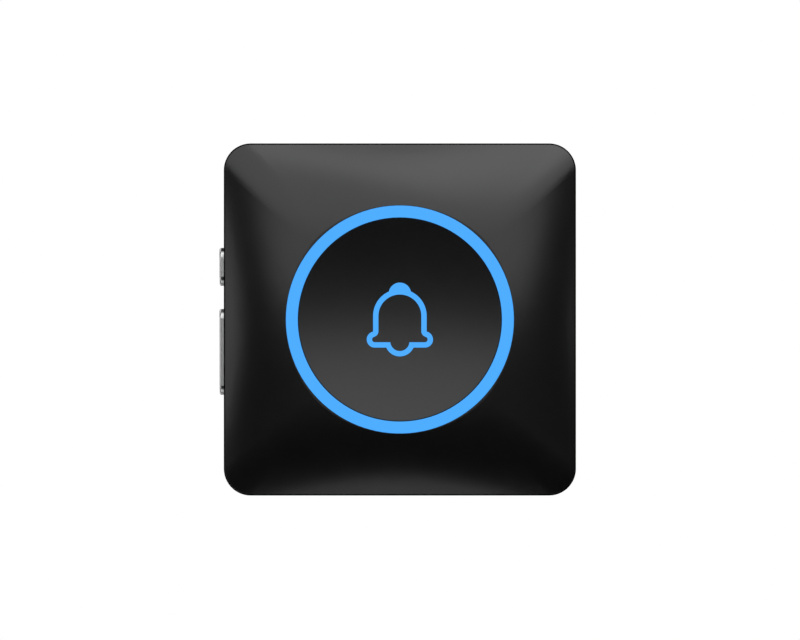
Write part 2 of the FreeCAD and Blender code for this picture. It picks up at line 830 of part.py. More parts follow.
def make_rear_cover():
    """Shallow tray with a locating lip, screw wells, board posts and the hollow plug boss."""
    body = new_body("rear_cover_body")
    outline = front_sketch(body, back_depth, "rear_outline")
    rounded(outline, 0, 0, case_half, case_half, S.corner_round)
    tray = pad(body, outline, S.rear_depth, "tray")
    fillet(body, tray, S.rear_round, at_depth(back_depth), "rear_rounding")

    lip_half = inner_half - S.lip_gap
    lip_corner = inner_corner - S.lip_gap
    space = front_sketch(body, floor_depth, "tray_space_outline")
    rounded(space, 0, 0, lip_half - S.lip_wall, lip_half - S.lip_wall, lip_corner - S.lip_wall)
    pocket(body, space, S.rear_depth, "tray_space")
    lip = front_sketch(body, floor_depth, "lip_outline")
    rounded(lip, 0, 0, lip_half, lip_half, lip_corner)
    rounded(lip, 0, 0, lip_half - S.lip_wall, lip_half - S.lip_wall, lip_corner - S.lip_wall)
    pad(body, lip, split_depth - floor_depth + S.lip_height, "lip")

    boss = front_sketch(body, 0, "boss_outline")
    boss_outline(boss, 0)
    pad(body, boss, floor_depth, "plug_boss")
    hollow = front_sketch(body, S.boss_end_wall, "boss_space_outline")
    boss_outline(hollow, S.boss_wall)
    pocket(body, hollow, floor_depth, "boss_space")
    pins = front_sketch(body, -S.boss_end_wall, "pin_hole_outline")
    for x in pin_places:
        circle(pins, x, 0, sleeve_radius + S.pin_fit_gap)
    pocket(body, pins, 3 * S.boss_end_wall, "pin_holes")

    posts = front_sketch(body, floor_depth, "well_post_outline")
    wells = front_sketch(body, floor_depth - S.shell_wall, "well_outline")
    holes = front_sketch(body, back_depth, "case_hole_outline")
    for x, z in corners(case_screw_place, case_screw_place):
        circle(posts, x, z, S.well_post_radius)
        circle(wells, x, z, S.well_radius)
        circle(holes, x, z, S.case_screw_radius + S.screw_clearance)
    pad(body, posts, split_depth - floor_depth, "well_posts")
    pocket(body, wells, S.well_depth, "screw_wells")
    pocket(body, holes, S.rear_depth, "case_holes")

    stands = front_sketch(body, floor_depth, "board_post_outline")
    pilots = front_sketch(body, power_back, "power_pilot_outline")
    for x, z in power_screw_places:
        circle(stands, x, z, S.board_boss_radius)
        circle(pilots, x, z, S.board_screw_radius + S.thread_gap)
    pad(body, stands, S.power_board_stand, "board_posts")
    pilot = S.power_screw_length - S.board_thickness + S.screw_clearance
    pocket(body, pilots, pilot, "power_pilots", backwards=True)
    return keep(body, "rear_cover")


# Lit ring and the dished disc

def make_light_ring():
    """Blue light guide: a flat band with a flange that is welded behind the shell."""
    body = new_body("light_ring_body")
    profile = sketch_on(body, "XY_Plane", 0, "ring_profile")
    polygon(profile, [
        (ring_inner, -ring_front), (ring_radius, -ring_front), (ring_radius, -seat_depth),
        (ring_flange_radius, -seat_depth), (ring_flange_radius, -ring_back), (ring_inner, -ring_back),
    ])
    band = revolve(body, profile, "ring")
    fillet(body, band, S.ring_edge_round, at_depth(ring_front), "ring_edges")
    return keep(body, "light_ring")


def make_cap_blank():
    """The disc before the dish and the bell are cut: a skirt, a stop flange and a middle post."""
    body = new_body("cap_blank")
    profile = sketch_on(body, "XY_Plane", 0, "cap_profile")
    skirt_radius = cap_radius - S.cap_skirt
    blank_front = cap_rim + S.dish_depth
    polygon(profile, [
        (0, -blank_front), (cap_radius, -blank_front), (cap_radius, -cap_flange_front),
        (cap_flange_radius, -cap_flange_front), (cap_flange_radius, -cap_flange_back),
        (skirt_radius, -cap_flange_back), (skirt_radius, -cap_back), (0, -cap_back),
    ])
    revolve(body, profile, "disc")
    post = front_sketch(body, post_end, "post_outline")
    circle(post, 0, 0, S.post_radius)
    pad(body, post, S.post_length + S.cap_wall / 2, "middle_post")
    return body


def bell_prism(name, gap):
    """The bell outline drawn through the disc, thinner than nominal by a gap on every side."""
    depth = (cap_back, ring_front + S.ring_proud)
    deep = (cap_back - S.ring_proud, ring_front + 2 * S.ring_proud)
    inner_dome = S.bell_dome_radius - S.bell_stroke + gap
    inner_lug = S.bell_lug_radius - S.bell_stroke + gap
    outer_dome = S.bell_dome_radius - gap
    outer_lug = S.bell_lug_radius - gap
    lug_z = -S.bell_lug_drop
    dome_z = S.bell_dome_height
    outside = [
        rod(f"{name}_dome", outer_dome, 0, depth, dome_z),
        block(f"{name}_side", (-outer_dome, outer_dome), depth, (lug_z, dome_z)),
        block(f"{name}_foot", (-S.bell_lug_reach, S.bell_lug_reach), depth, (lug_z - outer_lug, lug_z)),
        rod(f"{name}_knob", S.bell_knob_radius - gap, 0, depth, S.bell_knob_height),
        rod(f"{name}_clapper", S.bell_clapper_radius - gap, 0, depth, -S.bell_clapper_drop),
    ]
    inside = [
        rod(f"{name}_dome_space", inner_dome, 0, deep, dome_z),
        block(f"{name}_side_space", (-inner_dome, inner_dome), deep, (lug_z - inner_lug, dome_z)),
        block(f"{name}_foot_space", (-S.bell_lug_reach, S.bell_lug_reach), deep,
              (lug_z - inner_lug, lug_z + inner_lug)),
        rod(f"{name}_clapper_space", S.bell_clapper_radius - S.bell_stroke + gap, 0, deep,
            -S.bell_clapper_drop),
    ]
    for side, word in ((-1, "left"), (1, "right")):
        lug_x = side * S.bell_lug_reach
        outside.append(rod(f"{name}_{word}_lug", outer_lug, lug_x, depth, lug_z))
        inside.append(rod(f"{name}_{word}_lug_space", inner_lug, lug_x, deep, lug_z))
        span = sorted((side * inner_dome, lug_x), key=float)
        flare = block(f"{name}_{word}_flare", span, deep, (lug_z, -S.bell_side_end))
        bend = rod(f"{name}_{word}_bend", S.bell_stroke - gap, side * S.bell_dome_radius, deep,
                   -S.bell_side_end)
        inside.append(cut(f"{name}_{word}_flare_space", flare, [bend]))
    return cut(f"{name}_prism", fuse(f"{name}_outside", outside), inside)


def dish_ball(name, deeper):
    """The ball whose surface is the dish, or lies deeper than it."""
    base = (0, -dish_centre, 0)
    return primitive("Sphere", name, base, UPWARD, Radius=dish_radius + deeper)


def light_posts(name, gap):
    """Short round pegs that carry light through the disc to the bell outline."""
    middle = S.bell_stroke / 2
    places = [
        (0, S.bell_knob_height + S.light_post_radius * 2),
        (S.bell_dome_radius - middle, 0),
        (middle - S.bell_dome_radius, 0),
        (S.bell_lug_reach + S.bell_lug_radius - middle, -S.bell_lug_drop),
        (-S.bell_lug_reach - S.bell_lug_radius + middle, -S.bell_lug_drop),
        (0, middle - S.bell_clapper_drop - S.bell_clapper_radius),
    ]
    depth = (cap_back, cap_rim - S.dish_depth - S.inlay_depth / 2)
    radius = S.light_post_radius + gap
    return [rod(f"{name}_{index}", radius, x, depth, z) for index, (x, z) in enumerate(places)]


def make_face_cap():
    """Dark dished disc with a recess for the bell outline and holes for its pegs."""
    recess = common("bell_recess", bell_prism("recess", 0), dish_ball("recess_floor", S.inlay_depth))
    holes = light_posts("peg_hole", S.inlay_gap)
    dished = cut("dished_disc", make_cap_blank(), [dish_ball("dish", 0)])
    return keep(cut("face_cap_cut", dished, [recess] + holes), "face_cap")


def make_bell_inlay():
    """Blue bell outline, level with the dish, with its pegs."""
    deep = common("inlay_depth", bell_prism("inlay", S.inlay_gap), dish_ball("inlay_floor", S.inlay_depth))
    level = cut("inlay_level", deep, [dish_ball("dish_surface", 0)])
    return keep(fuse("bell_inlay_fuse", [level] + light_posts("peg", 0)), "bell_inlay")


# Side keys and what they press

def at_x(place_x, tolerance=0.01):
    """A test that picks the edges lying wholly in one plane across X."""
    level = float(place_x)
    return lambda edge: edge.BoundBox.XLength < tolerance and abs(edge.BoundBox.XMin - level) < tolerance


def make_key(label, middle, half_length, nub_places, lug=False):
    """A pill-shaped side key with its stop flange and nubs, and for the long key a pivot lug."""
    body = new_body(f"{label}_body")
    face = sketch_on(body, "YZ_Plane", key_face, "face_outline")
    pill(face, -key_middle, middle, half_length, key_radius)
    front = pad(body, face, flange_back - key_face, "key_front")
    fillet(body, front, S.key_round, at_x(key_face), "key_edges")
    flange = sketch_on(body, "YZ_Plane", flange_face, "flange_outline")
    pill(flange, -key_middle, middle, half_length + S.key_flange, key_radius + S.key_flange)
    pad(body, flange, S.key_flange_thickness, "flange")
    nubs = sketch_on(body, "YZ_Plane", flange_face, "nub_outline")
    for z in nub_places:
        circle(nubs, -key_middle, z, S.key_nub_radius)
    pad(body, nubs, nub_end - flange_face, "nubs")
    if lug:
        reach = key_radius + S.key_flange
        ear = sketch_on(body, "YZ_Plane", flange_face, "lug_outline")
        half_width = S.rocker_lug_width / 2
        rectangle(ear, -key_middle - reach, -key_middle + reach, middle - half_width, middle + half_width)
        pad(body, ear, pivot_end - flange_face, "pivot_lug")
        bore = front_sketch(body, split_depth, "bore_outline")
        circle(bore, pivot_x, middle, pivot_bore)
        pocket(body, bore, S.side_depth, "pivot_bore")
    return keep(body, label)


def make_side_keys():
    """The short melody key, the long volume rocker, its pin, and the pad, board and bracket behind."""
    make_key("melody_button", S.melody_height, S.melody_length / 2, [S.melody_height])
    nubs = (rocker_middle - S.rocker_nub_reach, rocker_middle + S.rocker_nub_reach)
    make_key("volume_rocker", rocker_middle, S.rocker_length / 2, nubs, lug=True)
    reach = key_radius + S.key_flange + S.ear_gap + S.ear_thickness
    pin_depth = (key_middle - reach, key_middle + reach)
    keep(rod("pivot", S.pivot_radius, pivot_x, pin_depth, rocker_middle), "rocker_pin")

    dome_x = (dome_tip_x, sheet_face)
    radii = (S.dome_tip_radius, S.dome_base_radius)
    keep(cone("melody_cone", radii, dome_x, key_middle, S.melody_height, "x"), "melody_dome")
    domes = [cone(f"volume_cone_{index}", radii, dome_x, key_middle, z, "x") for index, z in enumerate(nubs)]
    keep(group("volume_cones", domes), "volume_domes")

    def slab(name, x, width, z):
        return block(name, x, (key_middle - width / 2, key_middle + width / 2), z)

    keypad = slab("pad_sheet", (sheet_face, sheet_back), S.keypad_width, (keypad_bottom, keypad_top))
    keep(keypad, "side_keypad")
    span = (key_board_bottom, key_board_top)
    keep(slab("key_board", (sheet_back, key_board_back), S.key_board_width, span), "side_key_board")
    top = key_board_top + S.bracket_gap
    bottom = key_board_bottom - S.bracket_gap
    outer = (bottom - S.bracket_arm, top + S.bracket_arm)
    arm_x = (-inner_half, bracket_back)
    bracket = fuse("bracket", [
        block("bracket_plate", (bracket_front, bracket_back), bracket_depth, outer),
        block("upper_arm", arm_x, bracket_depth, (top, outer[1])),
        block("lower_arm", arm_x, bracket_depth, (outer[0], bottom)),
    ])
    keep(bracket, "key_bracket")
    pins_x = (key_board_back, key_board_back + S.link_pin_length)
    pins = []
    for index in range(4):
        z = (index - 1.5) * S.link_pin_pitch
        pin_depth = board_back - S.link_pin_radius
        pins.append(rod(f"key_pin_{index}", S.link_pin_radius, pins_x, pin_depth, z, "x"))
    keep(group("key_pins", pins), "key_link_pins")


# Main board, lamps and light box

def make_main_board():
    """Square board that carries the lamps in front and the chips behind."""
    body = new_body("main_board_body")
    outline = front_sketch(body, board_back, "board_outline")
    rounded(outline, 0, 0, board_half, board_half, S.board_corner)
    for x, z in corners(board_screw_place, board_screw_place):
        circle(outline, x, z, S.board_screw_radius + S.screw_clearance)
    for x in link_places:
        circle(outline, x, link_height, S.link_radius + S.link_hole_gap)
    pad(body, outline, S.board_thickness, "board")
    return keep(body, "main_board")


def make_power_board():
    """Board that the plug pins are soldered to."""
    body = new_body("power_board_body")
    outline = front_sketch(body, power_back, "board_outline")
    middle = (power_top + power_bottom) / 2
    rounded(outline, 0, middle, board_half, (power_top - power_bottom) / 2, S.board_corner)
    for x, z in power_screw_places:
        circle(outline, x, z, S.board_screw_radius + S.screw_clearance)
    for x in link_places:
        circle(outline, x, link_height, S.link_radius + S.link_hole_gap)
    pad(body, outline, S.board_thickness, "board")
    return keep(body, "power_board")


def lamp(name, x, z):
    half_length = S.lamp_length / 2
    half_width = S.lamp_width / 2
    depth = (board_front, board_front + S.lamp_height)
    return block(name, (x - half_length, x + half_length), depth, (z - half_width, z + half_width))


ring_lamp_places = [
    (ring_middle * math.sin(math.radians(angle)), ring_middle * math.cos(math.radians(angle)))
    for angle in range(0, 360, 30)
]
bell_lamp_places = corners(S.bell_lamp_reach, S.bell_lamp_rise)


def make_lamps():
    """Twelve lamps under the ring and four under the bell."""
    ring = [lamp(f"ring_lamp_{index}", x, z) for index, (x, z) in enumerate(ring_lamp_places)]
    keep(group("ring_lamps", ring), "ring_leds")
    bell = [lamp(f"bell_lamp_{index}", x, z) for index, (x, z) in enumerate(bell_lamp_places)]
    keep(group("bell_lamps", bell), "bell_leds")


def tube(name, outer, wall, depth):
    """A ring-shaped wall between two depths."""
    spare = wall
    inside = rod(f"{name}_space", outer - wall, 0, (depth[0] - spare, depth[1] + spare), 0)
    return cut(name, rod(f"{name}_outside", outer, 0, depth, 0), [inside])


def make_light_box():
    """White reflector: three round walls on a plate with a window over each lamp."""
    outer = ring_flange_radius - S.box_ring_margin
    inner = ring_inner - S.box_inner_margin
    short = (board_front, board_front + S.box_inner_height)
    plate_back = board_front + S.box_plate_height
    walls = fuse("box_walls", [
        tube("outer_wall", outer, S.box_wall, (board_front, ring_back - S.box_top_gap)),
        tube("inner_wall", inner, S.box_wall, short),
        tube("tunnel_wall", S.tunnel_radius, S.box_wall, short),
        rod("box_plate", outer - S.box_wall / 2, 0, (plate_back, plate_back + S.box_plate), 0),
    ])
    window = (plate_back - S.box_plate, plate_back + 2 * S.box_plate)
    places = ring_lamp_places + bell_lamp_places
    holes = [rod(f"window_{index}", S.lamp_hole_radius, x, window, z) for index, (x, z) in enumerate(places)]
    holes.append(rod("dome_hole", S.face_dome_base + S.face_dome_clearance, 0, window, 0))
    keep(cut("box_cut", walls, holes), "light_box")
    dome_depth = (board_front, post_end - S.dome_gap)
    dome = cone("face_cone", (S.face_dome_base, S.face_dome_tip), 0, dome_depth, 0)
    keep(dome, "face_dome")


# Parts on the boards

def row(label, columns):
    """The place and sizes of one part on a board, in the order of its columns."""
    x_share, z_share, *sizes = [getattr(S, f"{label}_{column}") for column in columns]
    return [x_share * board_half, z_share * board_half, *sizes]


def flat_part(label, near, towards):
    """A chip-like box that stands on a board, forwards (1) or backwards (-1) from a depth."""
    x, z, length, height, thickness = row(label, FLAT_COLUMNS)
    depth = (near, near + thickness) if towards > 0 else (near - thickness, near)
    box = block(f"{label}_box", (x - length / 2, x + length / 2), depth, (z - height / 2, z + height / 2))
    return keep(box, label)


def standing_part(label):
    """A round part that stands on the power board."""
    x, z, radius, length = row(label, ROUND_COLUMNS)
    return keep(rod(f"{label}_can", radius, x, (power_front, power_front + length), z), label)


def lying_part(label, direction):
    """A round part that lies on the power board along x or z."""
    x, z, radius, length = row(label, ROUND_COLUMNS)
    depth = power_front + radius
    if direction == "x":
        return rod(f"{label}_can", radius, (x - length / 2, x + length / 2), depth, z, "x")
    return rod(f"{label}_can", radius, x, depth, (z - length / 2, z + length / 2), "z")


def make_main_board_parts():
    """Chips, radio module, crystal and antenna wire on the back of the main board."""
    for label in MAIN_BOARD_PARTS:
        flat_part(label, board_back, -1)
    flat_part("radio_shield", board_back - S.radio_board_thickness, -1)

    edge = board_half - S.antenna_inset
    depth = board_back - S.antenna_radius - S.antenna_gap
    turn = edge - S.antenna_bend
    corner = primitive("Torus", "antenna_corner", (turn, -depth, turn), FORWARD,
                       Radius1=S.antenna_bend, Radius2=S.antenna_radius, Angle3=90)
    wire = fuse("antenna_wire", [
        rod("antenna_top", S.antenna_radius, (-S.antenna_start, turn), depth, edge, "x"),
        corner,
        rod("antenna_side", S.antenna_radius, edge, depth, (-S.antenna_end, turn), "z"),
    ])
    keep(wire, "antenna")


def make_power_parts():
    """Transformer, capacitors, fuse resistor, rectifier, choke and converter chip on the power board."""
    for label in POWER_BOARD_PARTS:
        flat_part(label, power_front, 1)
    standing_part("output_capacitor")
    standing_part("filter_choke")
    keep(lying_part("fuse_resistor", "z"), "fuse_resistor")
    cans = [lying_part("upper_capacitor", "x"), lying_part("lower_capacitor", "x")]
    keep(group("bulk_cans", cans), "bulk_capacitors")
    make_transformer()
    make_link()


def make_transformer():
    """Ferrite frame with two windows and the wound block on its middle leg."""
    x, z = S.core_x_share * board_half, S.core_z_share * board_half
    coil_back = power_front + S.coil_gap
    coil_front = board_back - S.radio_board_thickness - S.radio_shield_thickness - S.coil_clearance
    middle = (coil_back + coil_front) / 2
    half_leg = S.core_leg / 2
    half_core = S.core_thickness / 2
    core_depth = (middle - half_core, middle + half_core)
    through = (power_back, board_back)
    window_z = (z - S.core_height / 2 + S.core_yoke, z + S.core_height / 2 - S.core_yoke)
    core = block("core_outside", (x - S.core_length / 2, x + S.core_length / 2), core_depth,
                 (z - S.core_height / 2, z + S.core_height / 2))
    windows = [
        block("left_window", (x - half_leg - S.core_window, x - half_leg), through, window_z),
        block("right_window", (x + half_leg, x + half_leg + S.core_window), through, window_z),
    ]
    keep(cut("core_cut", core, windows), "transformer_core")
    coil_reach = half_leg + S.core_window - S.coil_gap
    coil_z = (window_z[0] + S.coil_gap, window_z[1] - S.coil_gap)
    coil = block("coil_outside", (x - coil_reach, x + coil_reach), (coil_back, coil_front), coil_z)
    leg_x = (x - half_leg - S.coil_gap, x + half_leg + S.coil_gap)
    leg_depth = (core_depth[0] - S.coil_gap, core_depth[1] + S.coil_gap)
    leg = block("coil_space", leg_x, leg_depth, (z - S.core_height, z + S.core_height))
    keep(cut("coil_cut", coil, [leg]), "transformer_coil")


def make_link():
    """Four-pin header between the two boards."""
    half_width = S.link_body_width / 2
    body = block("link_block", (link_places[0] - half_width, link_places[3] + half_width),
                 (power_front, board_back), (link_height - half_width, link_height + half_width))
    bores = [
        rod(f"link_bore_{index}", S.link_radius + S.link_fit_gap, x, (power_back, board_front), link_height)
        for index, x in enumerate(link_places)
    ]
    keep(cut("link_cut", body, bores), "link_header")
    ends = (power_back - S.link_proud, board_front + S.link_proud)
    pins = [
        rod(f"link_pin_{index}", S.link_radius, x, ends, link_height)
        for index, x in enumerate(link_places)
    ]
    keep(group("link_pin_group", pins), "link_pins")


# Speaker

def make_speaker():
    """Flat speaker that faces the slots in the bottom wall, with its gasket, cone, magnet and leads."""
    half = S.speaker_length / 2
    half_width = S.speaker_width / 2
    x = (-half, half)
    depth = (speaker_middle - half_width, speaker_middle + half_width)
    rim = S.speaker_rim
    open_x = (rim - half, half - rim)
    open_depth = (depth[0] + rim, depth[1] - rim)
    below = -case_half
    gasket = block("gasket_block", x, depth, (-inner_half, speaker_face))
    hole = block("gasket_hole", open_x, open_depth, (below, speaker_back))
    keep(cut("gasket_cut", gasket, [hole]), "speaker_gasket")
    frame = block("frame_block", x, depth, (speaker_face, speaker_back))
    space = block("frame_space", open_x, open_depth, (below, speaker_back - S.speaker_plate))
    keep(cut("frame_cut", frame, [space]), "speaker_frame")
    gap = S.cone_gap
    cone_z = (speaker_face + S.cone_setback, speaker_face + S.cone_setback + S.cone_thickness)
    cone_x = (open_x[0] + gap, open_x[1] - gap)
    cone_depth = (open_depth[0] + gap, open_depth[1] - gap)
    plate = block("cone_plate", cone_x, cone_depth, cone_z)
    keep(plate, "speaker_cone")
    magnet = block("magnet_block", (-S.magnet_length / 2, S.magnet_length / 2),
                   (speaker_middle - S.magnet_width / 2, speaker_middle + S.magnet_width / 2),
                   (speaker_back, speaker_back + S.magnet_height))
    keep(magnet, "speaker_magnet")

    socket_x = (S.lead_place - S.socket_length / 2, S.lead_place + S.socket_length / 2)
    socket_depth = (board_back - S.socket_height, board_back)
    socket = block("socket_block", socket_x, socket_depth, (lead_end, lead_end + S.socket_width))
    keep(socket, "speaker_socket")
    leads = [
        speaker_lead(f"lead_{word}", S.lead_place + side * S.lead_pitch / 2)
        for word, side in (("left", -1), ("right", 1))
    ]
    keep(group("leads", leads), "speaker_leads")


def speaker_lead(name, x):
    """A wire up from the speaker, forwards in two quarter bends and up into the socket."""
    radius = S.lead_radius
    bend_middle = -(speaker_middle + lead_bend)
    rise = FreeCAD.Rotation(Y_AXIS, Z_AXIS, X_AXIS, "XYZ")
    fall = FreeCAD.Rotation(-Z_AXIS, -Y_AXIS, -X_AXIS, "XYZ")
    sizes = {"Radius1": lead_bend, "Radius2": radius, "Angle3": 90}
    return fuse(name, [
        rod(f"{name}_low", radius, x, speaker_middle, (speaker_back, lead_low), "z"),
        primitive("Torus", f"{name}_first", (x, bend_middle, lead_low), rise, **sizes),
        primitive("Torus", f"{name}_second", (x, bend_middle, lead_high), fall, **sizes),
        rod(f"{name}_high", radius, x, lead_depth, (lead_high, lead_end), "z"),
    ])


# Plug pins

def make_plug():
    """Two round pins with collars held in the boss, each with an insulating sleeve let into the end wall."""
    pins = []
    sleeves = []
    for word, x in zip(("left", "right"), pin_places):
        body = new_body(f"{word}_pin")
        profile = sketch_on(body, "XY_Plane", 0, "pin_profile")
        tip = S.pin_length
        collar = S.boss_end_wall + S.pin_collar
        polygon(profile, [
            (0, tip), (0, -power_back), (S.pin_core_radius, -power_back), (S.pin_core_radius, -collar),
            (S.pin_collar_radius, -collar), (S.pin_collar_radius, -S.boss_end_wall),
            (S.pin_core_radius, -S.boss_end_wall), (S.pin_core_radius, S.sleeve_length),
            (S.pin_radius, S.sleeve_length), (S.pin_radius, tip),
        ])
        turned = revolve(body, profile, "pin")
        fillet(body, turned, S.pin_round, at_depth(-tip), "pin_end")
        bind(body, "Placement.Base.x", x)
        pins.append(body)
        span = (-S.sleeve_length, S.boss_end_wall)
        sleeve = rod(f"{word}_sleeve_outside", sleeve_radius, x, span, 0)
        space = rod(f"{word}_sleeve_space", pin_bore, x, (span[0] - S.pin_collar, collar), 0)
        sleeves.append(cut(f"{word}_sleeve", sleeve, [space]))
    keep(group("pin_pair", pins), "plug_pins")
    keep(group("sleeve_pair", sleeves), "pin_sleeves")


# Screws

def screw(name, place_xz, seat, head, shank, towards):
    """A screw whose head sits on a depth and whose shank goes forwards (1) or backwards (-1) from it."""
    x, z = place_xz
    head_radius, head_height = head
    radius, length = shank
    half_slot = S.drive_width / 2
    if towards > 0:
        head_depth = (seat - head_height, seat)
        shank_depth = (seat, seat + length)
        slot_depth = (head_depth[0] - S.drive_depth, head_depth[0] + S.drive_depth)
    else:
        head_depth = (seat, seat + head_height)
        shank_depth = (seat - length, seat)
        slot_depth = (head_depth[1] - S.drive_depth, head_depth[1] + S.drive_depth)
    cross_share = 0.7
    reach = head_radius * cross_share
    solid = fuse(f"{name}_solid", [
        rod(f"{name}_head", head_radius, x, head_depth, z),
        rod(f"{name}_shank", radius, x, shank_depth, z),
    ])
    cross = [
        block(f"{name}_slot_x", (x - reach, x + reach), slot_depth, (z - half_slot, z + half_slot)),
        block(f"{name}_slot_z", (x - half_slot, x + half_slot), slot_depth, (z - reach, z + reach)),
    ]
    return cut(name, solid, cross)


def make_screws():
    """Case screws from behind, board screws from behind and power board screws from the front."""
    kinds = [
        ("case_screw", corners(case_screw_place, case_screw_place), back_depth + S.well_depth,
         (S.case_head_radius, S.case_head_height), (S.case_screw_radius, S.case_screw_length), 1),
        ("board_screw", corners(board_screw_place, board_screw_place), board_back,
         (S.board_head_radius, S.board_head_height), (S.board_screw_radius, S.board_screw_length), 1),
        ("power_screw", power_screw_places, power_front,
         (S.board_head_radius, S.board_head_height), (S.board_screw_radius, S.power_screw_length), -1),
    ]
    for kind, places, seat, head, shank, towards in kinds:
        screws = [
            screw(f"{kind}_{index}", place_xz, seat, head, shank, towards)
            for index, place_xz in enumerate(places)
        ]
        keep(group(f"{kind}_group", screws), f"{kind}s")


def check_document():
    """Stop if any object failed, any sub-part is empty or broken, or a cut took nothing away."""
    doc.recompute()
    for item in doc.Objects:
        if "Invalid" in item.State or "Error" in item.State:
            raise RuntimeError(f"{item.Name} failed: {item.State}")
        if item.TypeId in ("PartDesign::Pocket", "PartDesign::SubtractiveLoft"):
            if item.Shape.Volume > item.BaseFeature.Shape.Volume - 1e-6:
                raise RuntimeError(f"{item.Name} cuts nothing")
    for subpart in SUBPARTS:
        if subpart.Shape.isNull() or not subpart.Shape.isValid() or not subpart.Shape.Solids:
            raise RuntimeError(f"{subpart.Label} has no valid solid")


def write_files():
    """Write each sub-part to a file of its own name."""
    for subpart in SUBPARTS:
        subpart.Shape.exportStep(f"parts/{subpart.Label}.step")
        count = len(subpart.Shape.Solids)
        print(f"{subpart.Label}: {count} solid(s), {subpart.Shape.Volume:.2f} mm3")


make_front_shell()
make_rear_cover()
make_light_ring()
make_face_cap()
make_bell_inlay()
make_side_keys()
make_main_board()
make_lamps()
make_light_box()
make_main_board_parts()
make_power_board()
make_power_parts()
make_speaker()
make_plug()
make_screws()
check_document()
write_files()
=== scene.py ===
# %% [markdown]
# A plug-in doorbell chime. It is a black case with a soft pillow front, a blue lit ring round a dished
# push disc, a bell in the same blue, and two silver keys on the left edge. The shapes that matter for
# the way it works come from the CAD frame. This script dresses that frame: it sets the camera and the
# studio, builds the small pieces whose forms a quick solid leaves plain, and gives every piece its
# finish.

# %% Load the frame
import math

import bpy
import numpy as np
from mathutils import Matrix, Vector


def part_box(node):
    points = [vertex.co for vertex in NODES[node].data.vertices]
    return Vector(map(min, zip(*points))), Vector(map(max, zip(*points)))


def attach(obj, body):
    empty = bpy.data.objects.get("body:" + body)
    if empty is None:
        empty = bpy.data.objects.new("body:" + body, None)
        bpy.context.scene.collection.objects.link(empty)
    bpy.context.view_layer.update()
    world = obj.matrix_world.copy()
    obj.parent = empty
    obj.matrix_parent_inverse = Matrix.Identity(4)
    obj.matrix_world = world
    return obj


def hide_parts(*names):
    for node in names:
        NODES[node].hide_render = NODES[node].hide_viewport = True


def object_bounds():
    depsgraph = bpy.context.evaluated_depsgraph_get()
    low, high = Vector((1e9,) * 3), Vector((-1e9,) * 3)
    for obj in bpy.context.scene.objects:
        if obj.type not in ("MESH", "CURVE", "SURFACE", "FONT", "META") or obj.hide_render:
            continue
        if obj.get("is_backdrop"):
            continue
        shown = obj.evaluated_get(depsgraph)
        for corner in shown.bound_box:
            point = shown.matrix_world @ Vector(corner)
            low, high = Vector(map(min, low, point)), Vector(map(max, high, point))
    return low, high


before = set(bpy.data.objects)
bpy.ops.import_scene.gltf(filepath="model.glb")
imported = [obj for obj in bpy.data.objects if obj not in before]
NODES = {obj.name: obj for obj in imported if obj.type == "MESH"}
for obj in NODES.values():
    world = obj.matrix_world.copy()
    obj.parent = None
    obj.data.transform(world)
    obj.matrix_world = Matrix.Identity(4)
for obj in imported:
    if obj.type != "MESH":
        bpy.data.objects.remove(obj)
cad_bounds = [list(corner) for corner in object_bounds()]
MM = 0.001

# %% [markdown]
# The photograph looks straight at the front, and no side wall shows, so the picture was taken from far
# away. A long lens would do. An orthographic camera is simpler: all its rays are parallel, so the case
# keeps the same outline at every depth. Its scale follows from the 80 mm case, which is 352 pixels
# wide in a picture of 800.

# %% Camera
PICTURE_WIDTH = 800
CASE_WIDTH = 80.0 * MM
CASE_PIXELS = 352.15
CAMERA_DISTANCE = 1.5
CAMERA_RIGHT = 0.03 * MM
CAMERA_DOWN = 0.12 * MM


def make_camera():
    """An orthographic camera in front of the case, moved by the part of a pixel seen in the photo."""
    data = bpy.data.cameras.new("front_camera")
    data.type = "ORTHO"
    data.ortho_scale = PICTURE_WIDTH * CASE_WIDTH / CASE_PIXELS
    made = bpy.data.objects.new("front_camera", data)
    bpy.context.scene.collection.objects.link(made)
    made.location = (CAMERA_RIGHT, -CAMERA_DISTANCE, -CAMERA_DOWN)
    made.rotation_euler = (math.radians(90), 0, 0)
    bpy.context.scene.camera = made
    return made


camera = make_camera()
print("view width in mm:", round(camera.data.ortho_scale / MM, 1))

# %% [markdown]
# Black plastic shows hardly any colour of its own. What the eye reads is the studio, mirrored in it. A
# slope of a degrees mirrors what stands 2a degrees from the camera, so the grey of each slope of the
# pillow tells what stood there: a wide soft box in front and above, whose rounded lower edge lies level
# with the case, a second one to the upper right, and narrow strips far out to the left, to the right
# and below. The boxes behind the case don't show in the pillow. They give the walls, the keys and the
# back a sheen in the other views. They keep clear of the direction straight behind, since the round
# upper tips of the keys mirror it and are black in the photograph. The lower tips are grey there, and
# mirror the strip under the case.

# %% Studio
FRONT_DEPTH = 43 * MM
FOCUS = Vector((0, -FRONT_DEPTH, 0))
DARK_ROOM = 0.012


def soft_box(name, shape, azimuth, elevation, distance, width, height, radiance):
    """An area light that faces the case from a sphere round it.

    The power of such a light is its radiance times pi times its area.
    """
    data = bpy.data.lights.new(name, "AREA")
    data.shape = shape
    data.size = width
    data.size_y = height
    area = width * height * (math.pi / 4 if shape == "ELLIPSE" else 1)
    data.energy = radiance * math.pi * area
    light = bpy.data.objects.new(name, data)
    bpy.context.scene.collection.objects.link(light)
    a, e = math.radians(azimuth), math.radians(elevation)
    away = Vector((math.sin(a) * math.cos(e), -math.cos(a) * math.cos(e), math.sin(e)))
    light.location = FOCUS + away * distance
    light.rotation_euler = away.to_track_quat("Z", "Y").to_euler()
    light.visible_camera = False
    return light


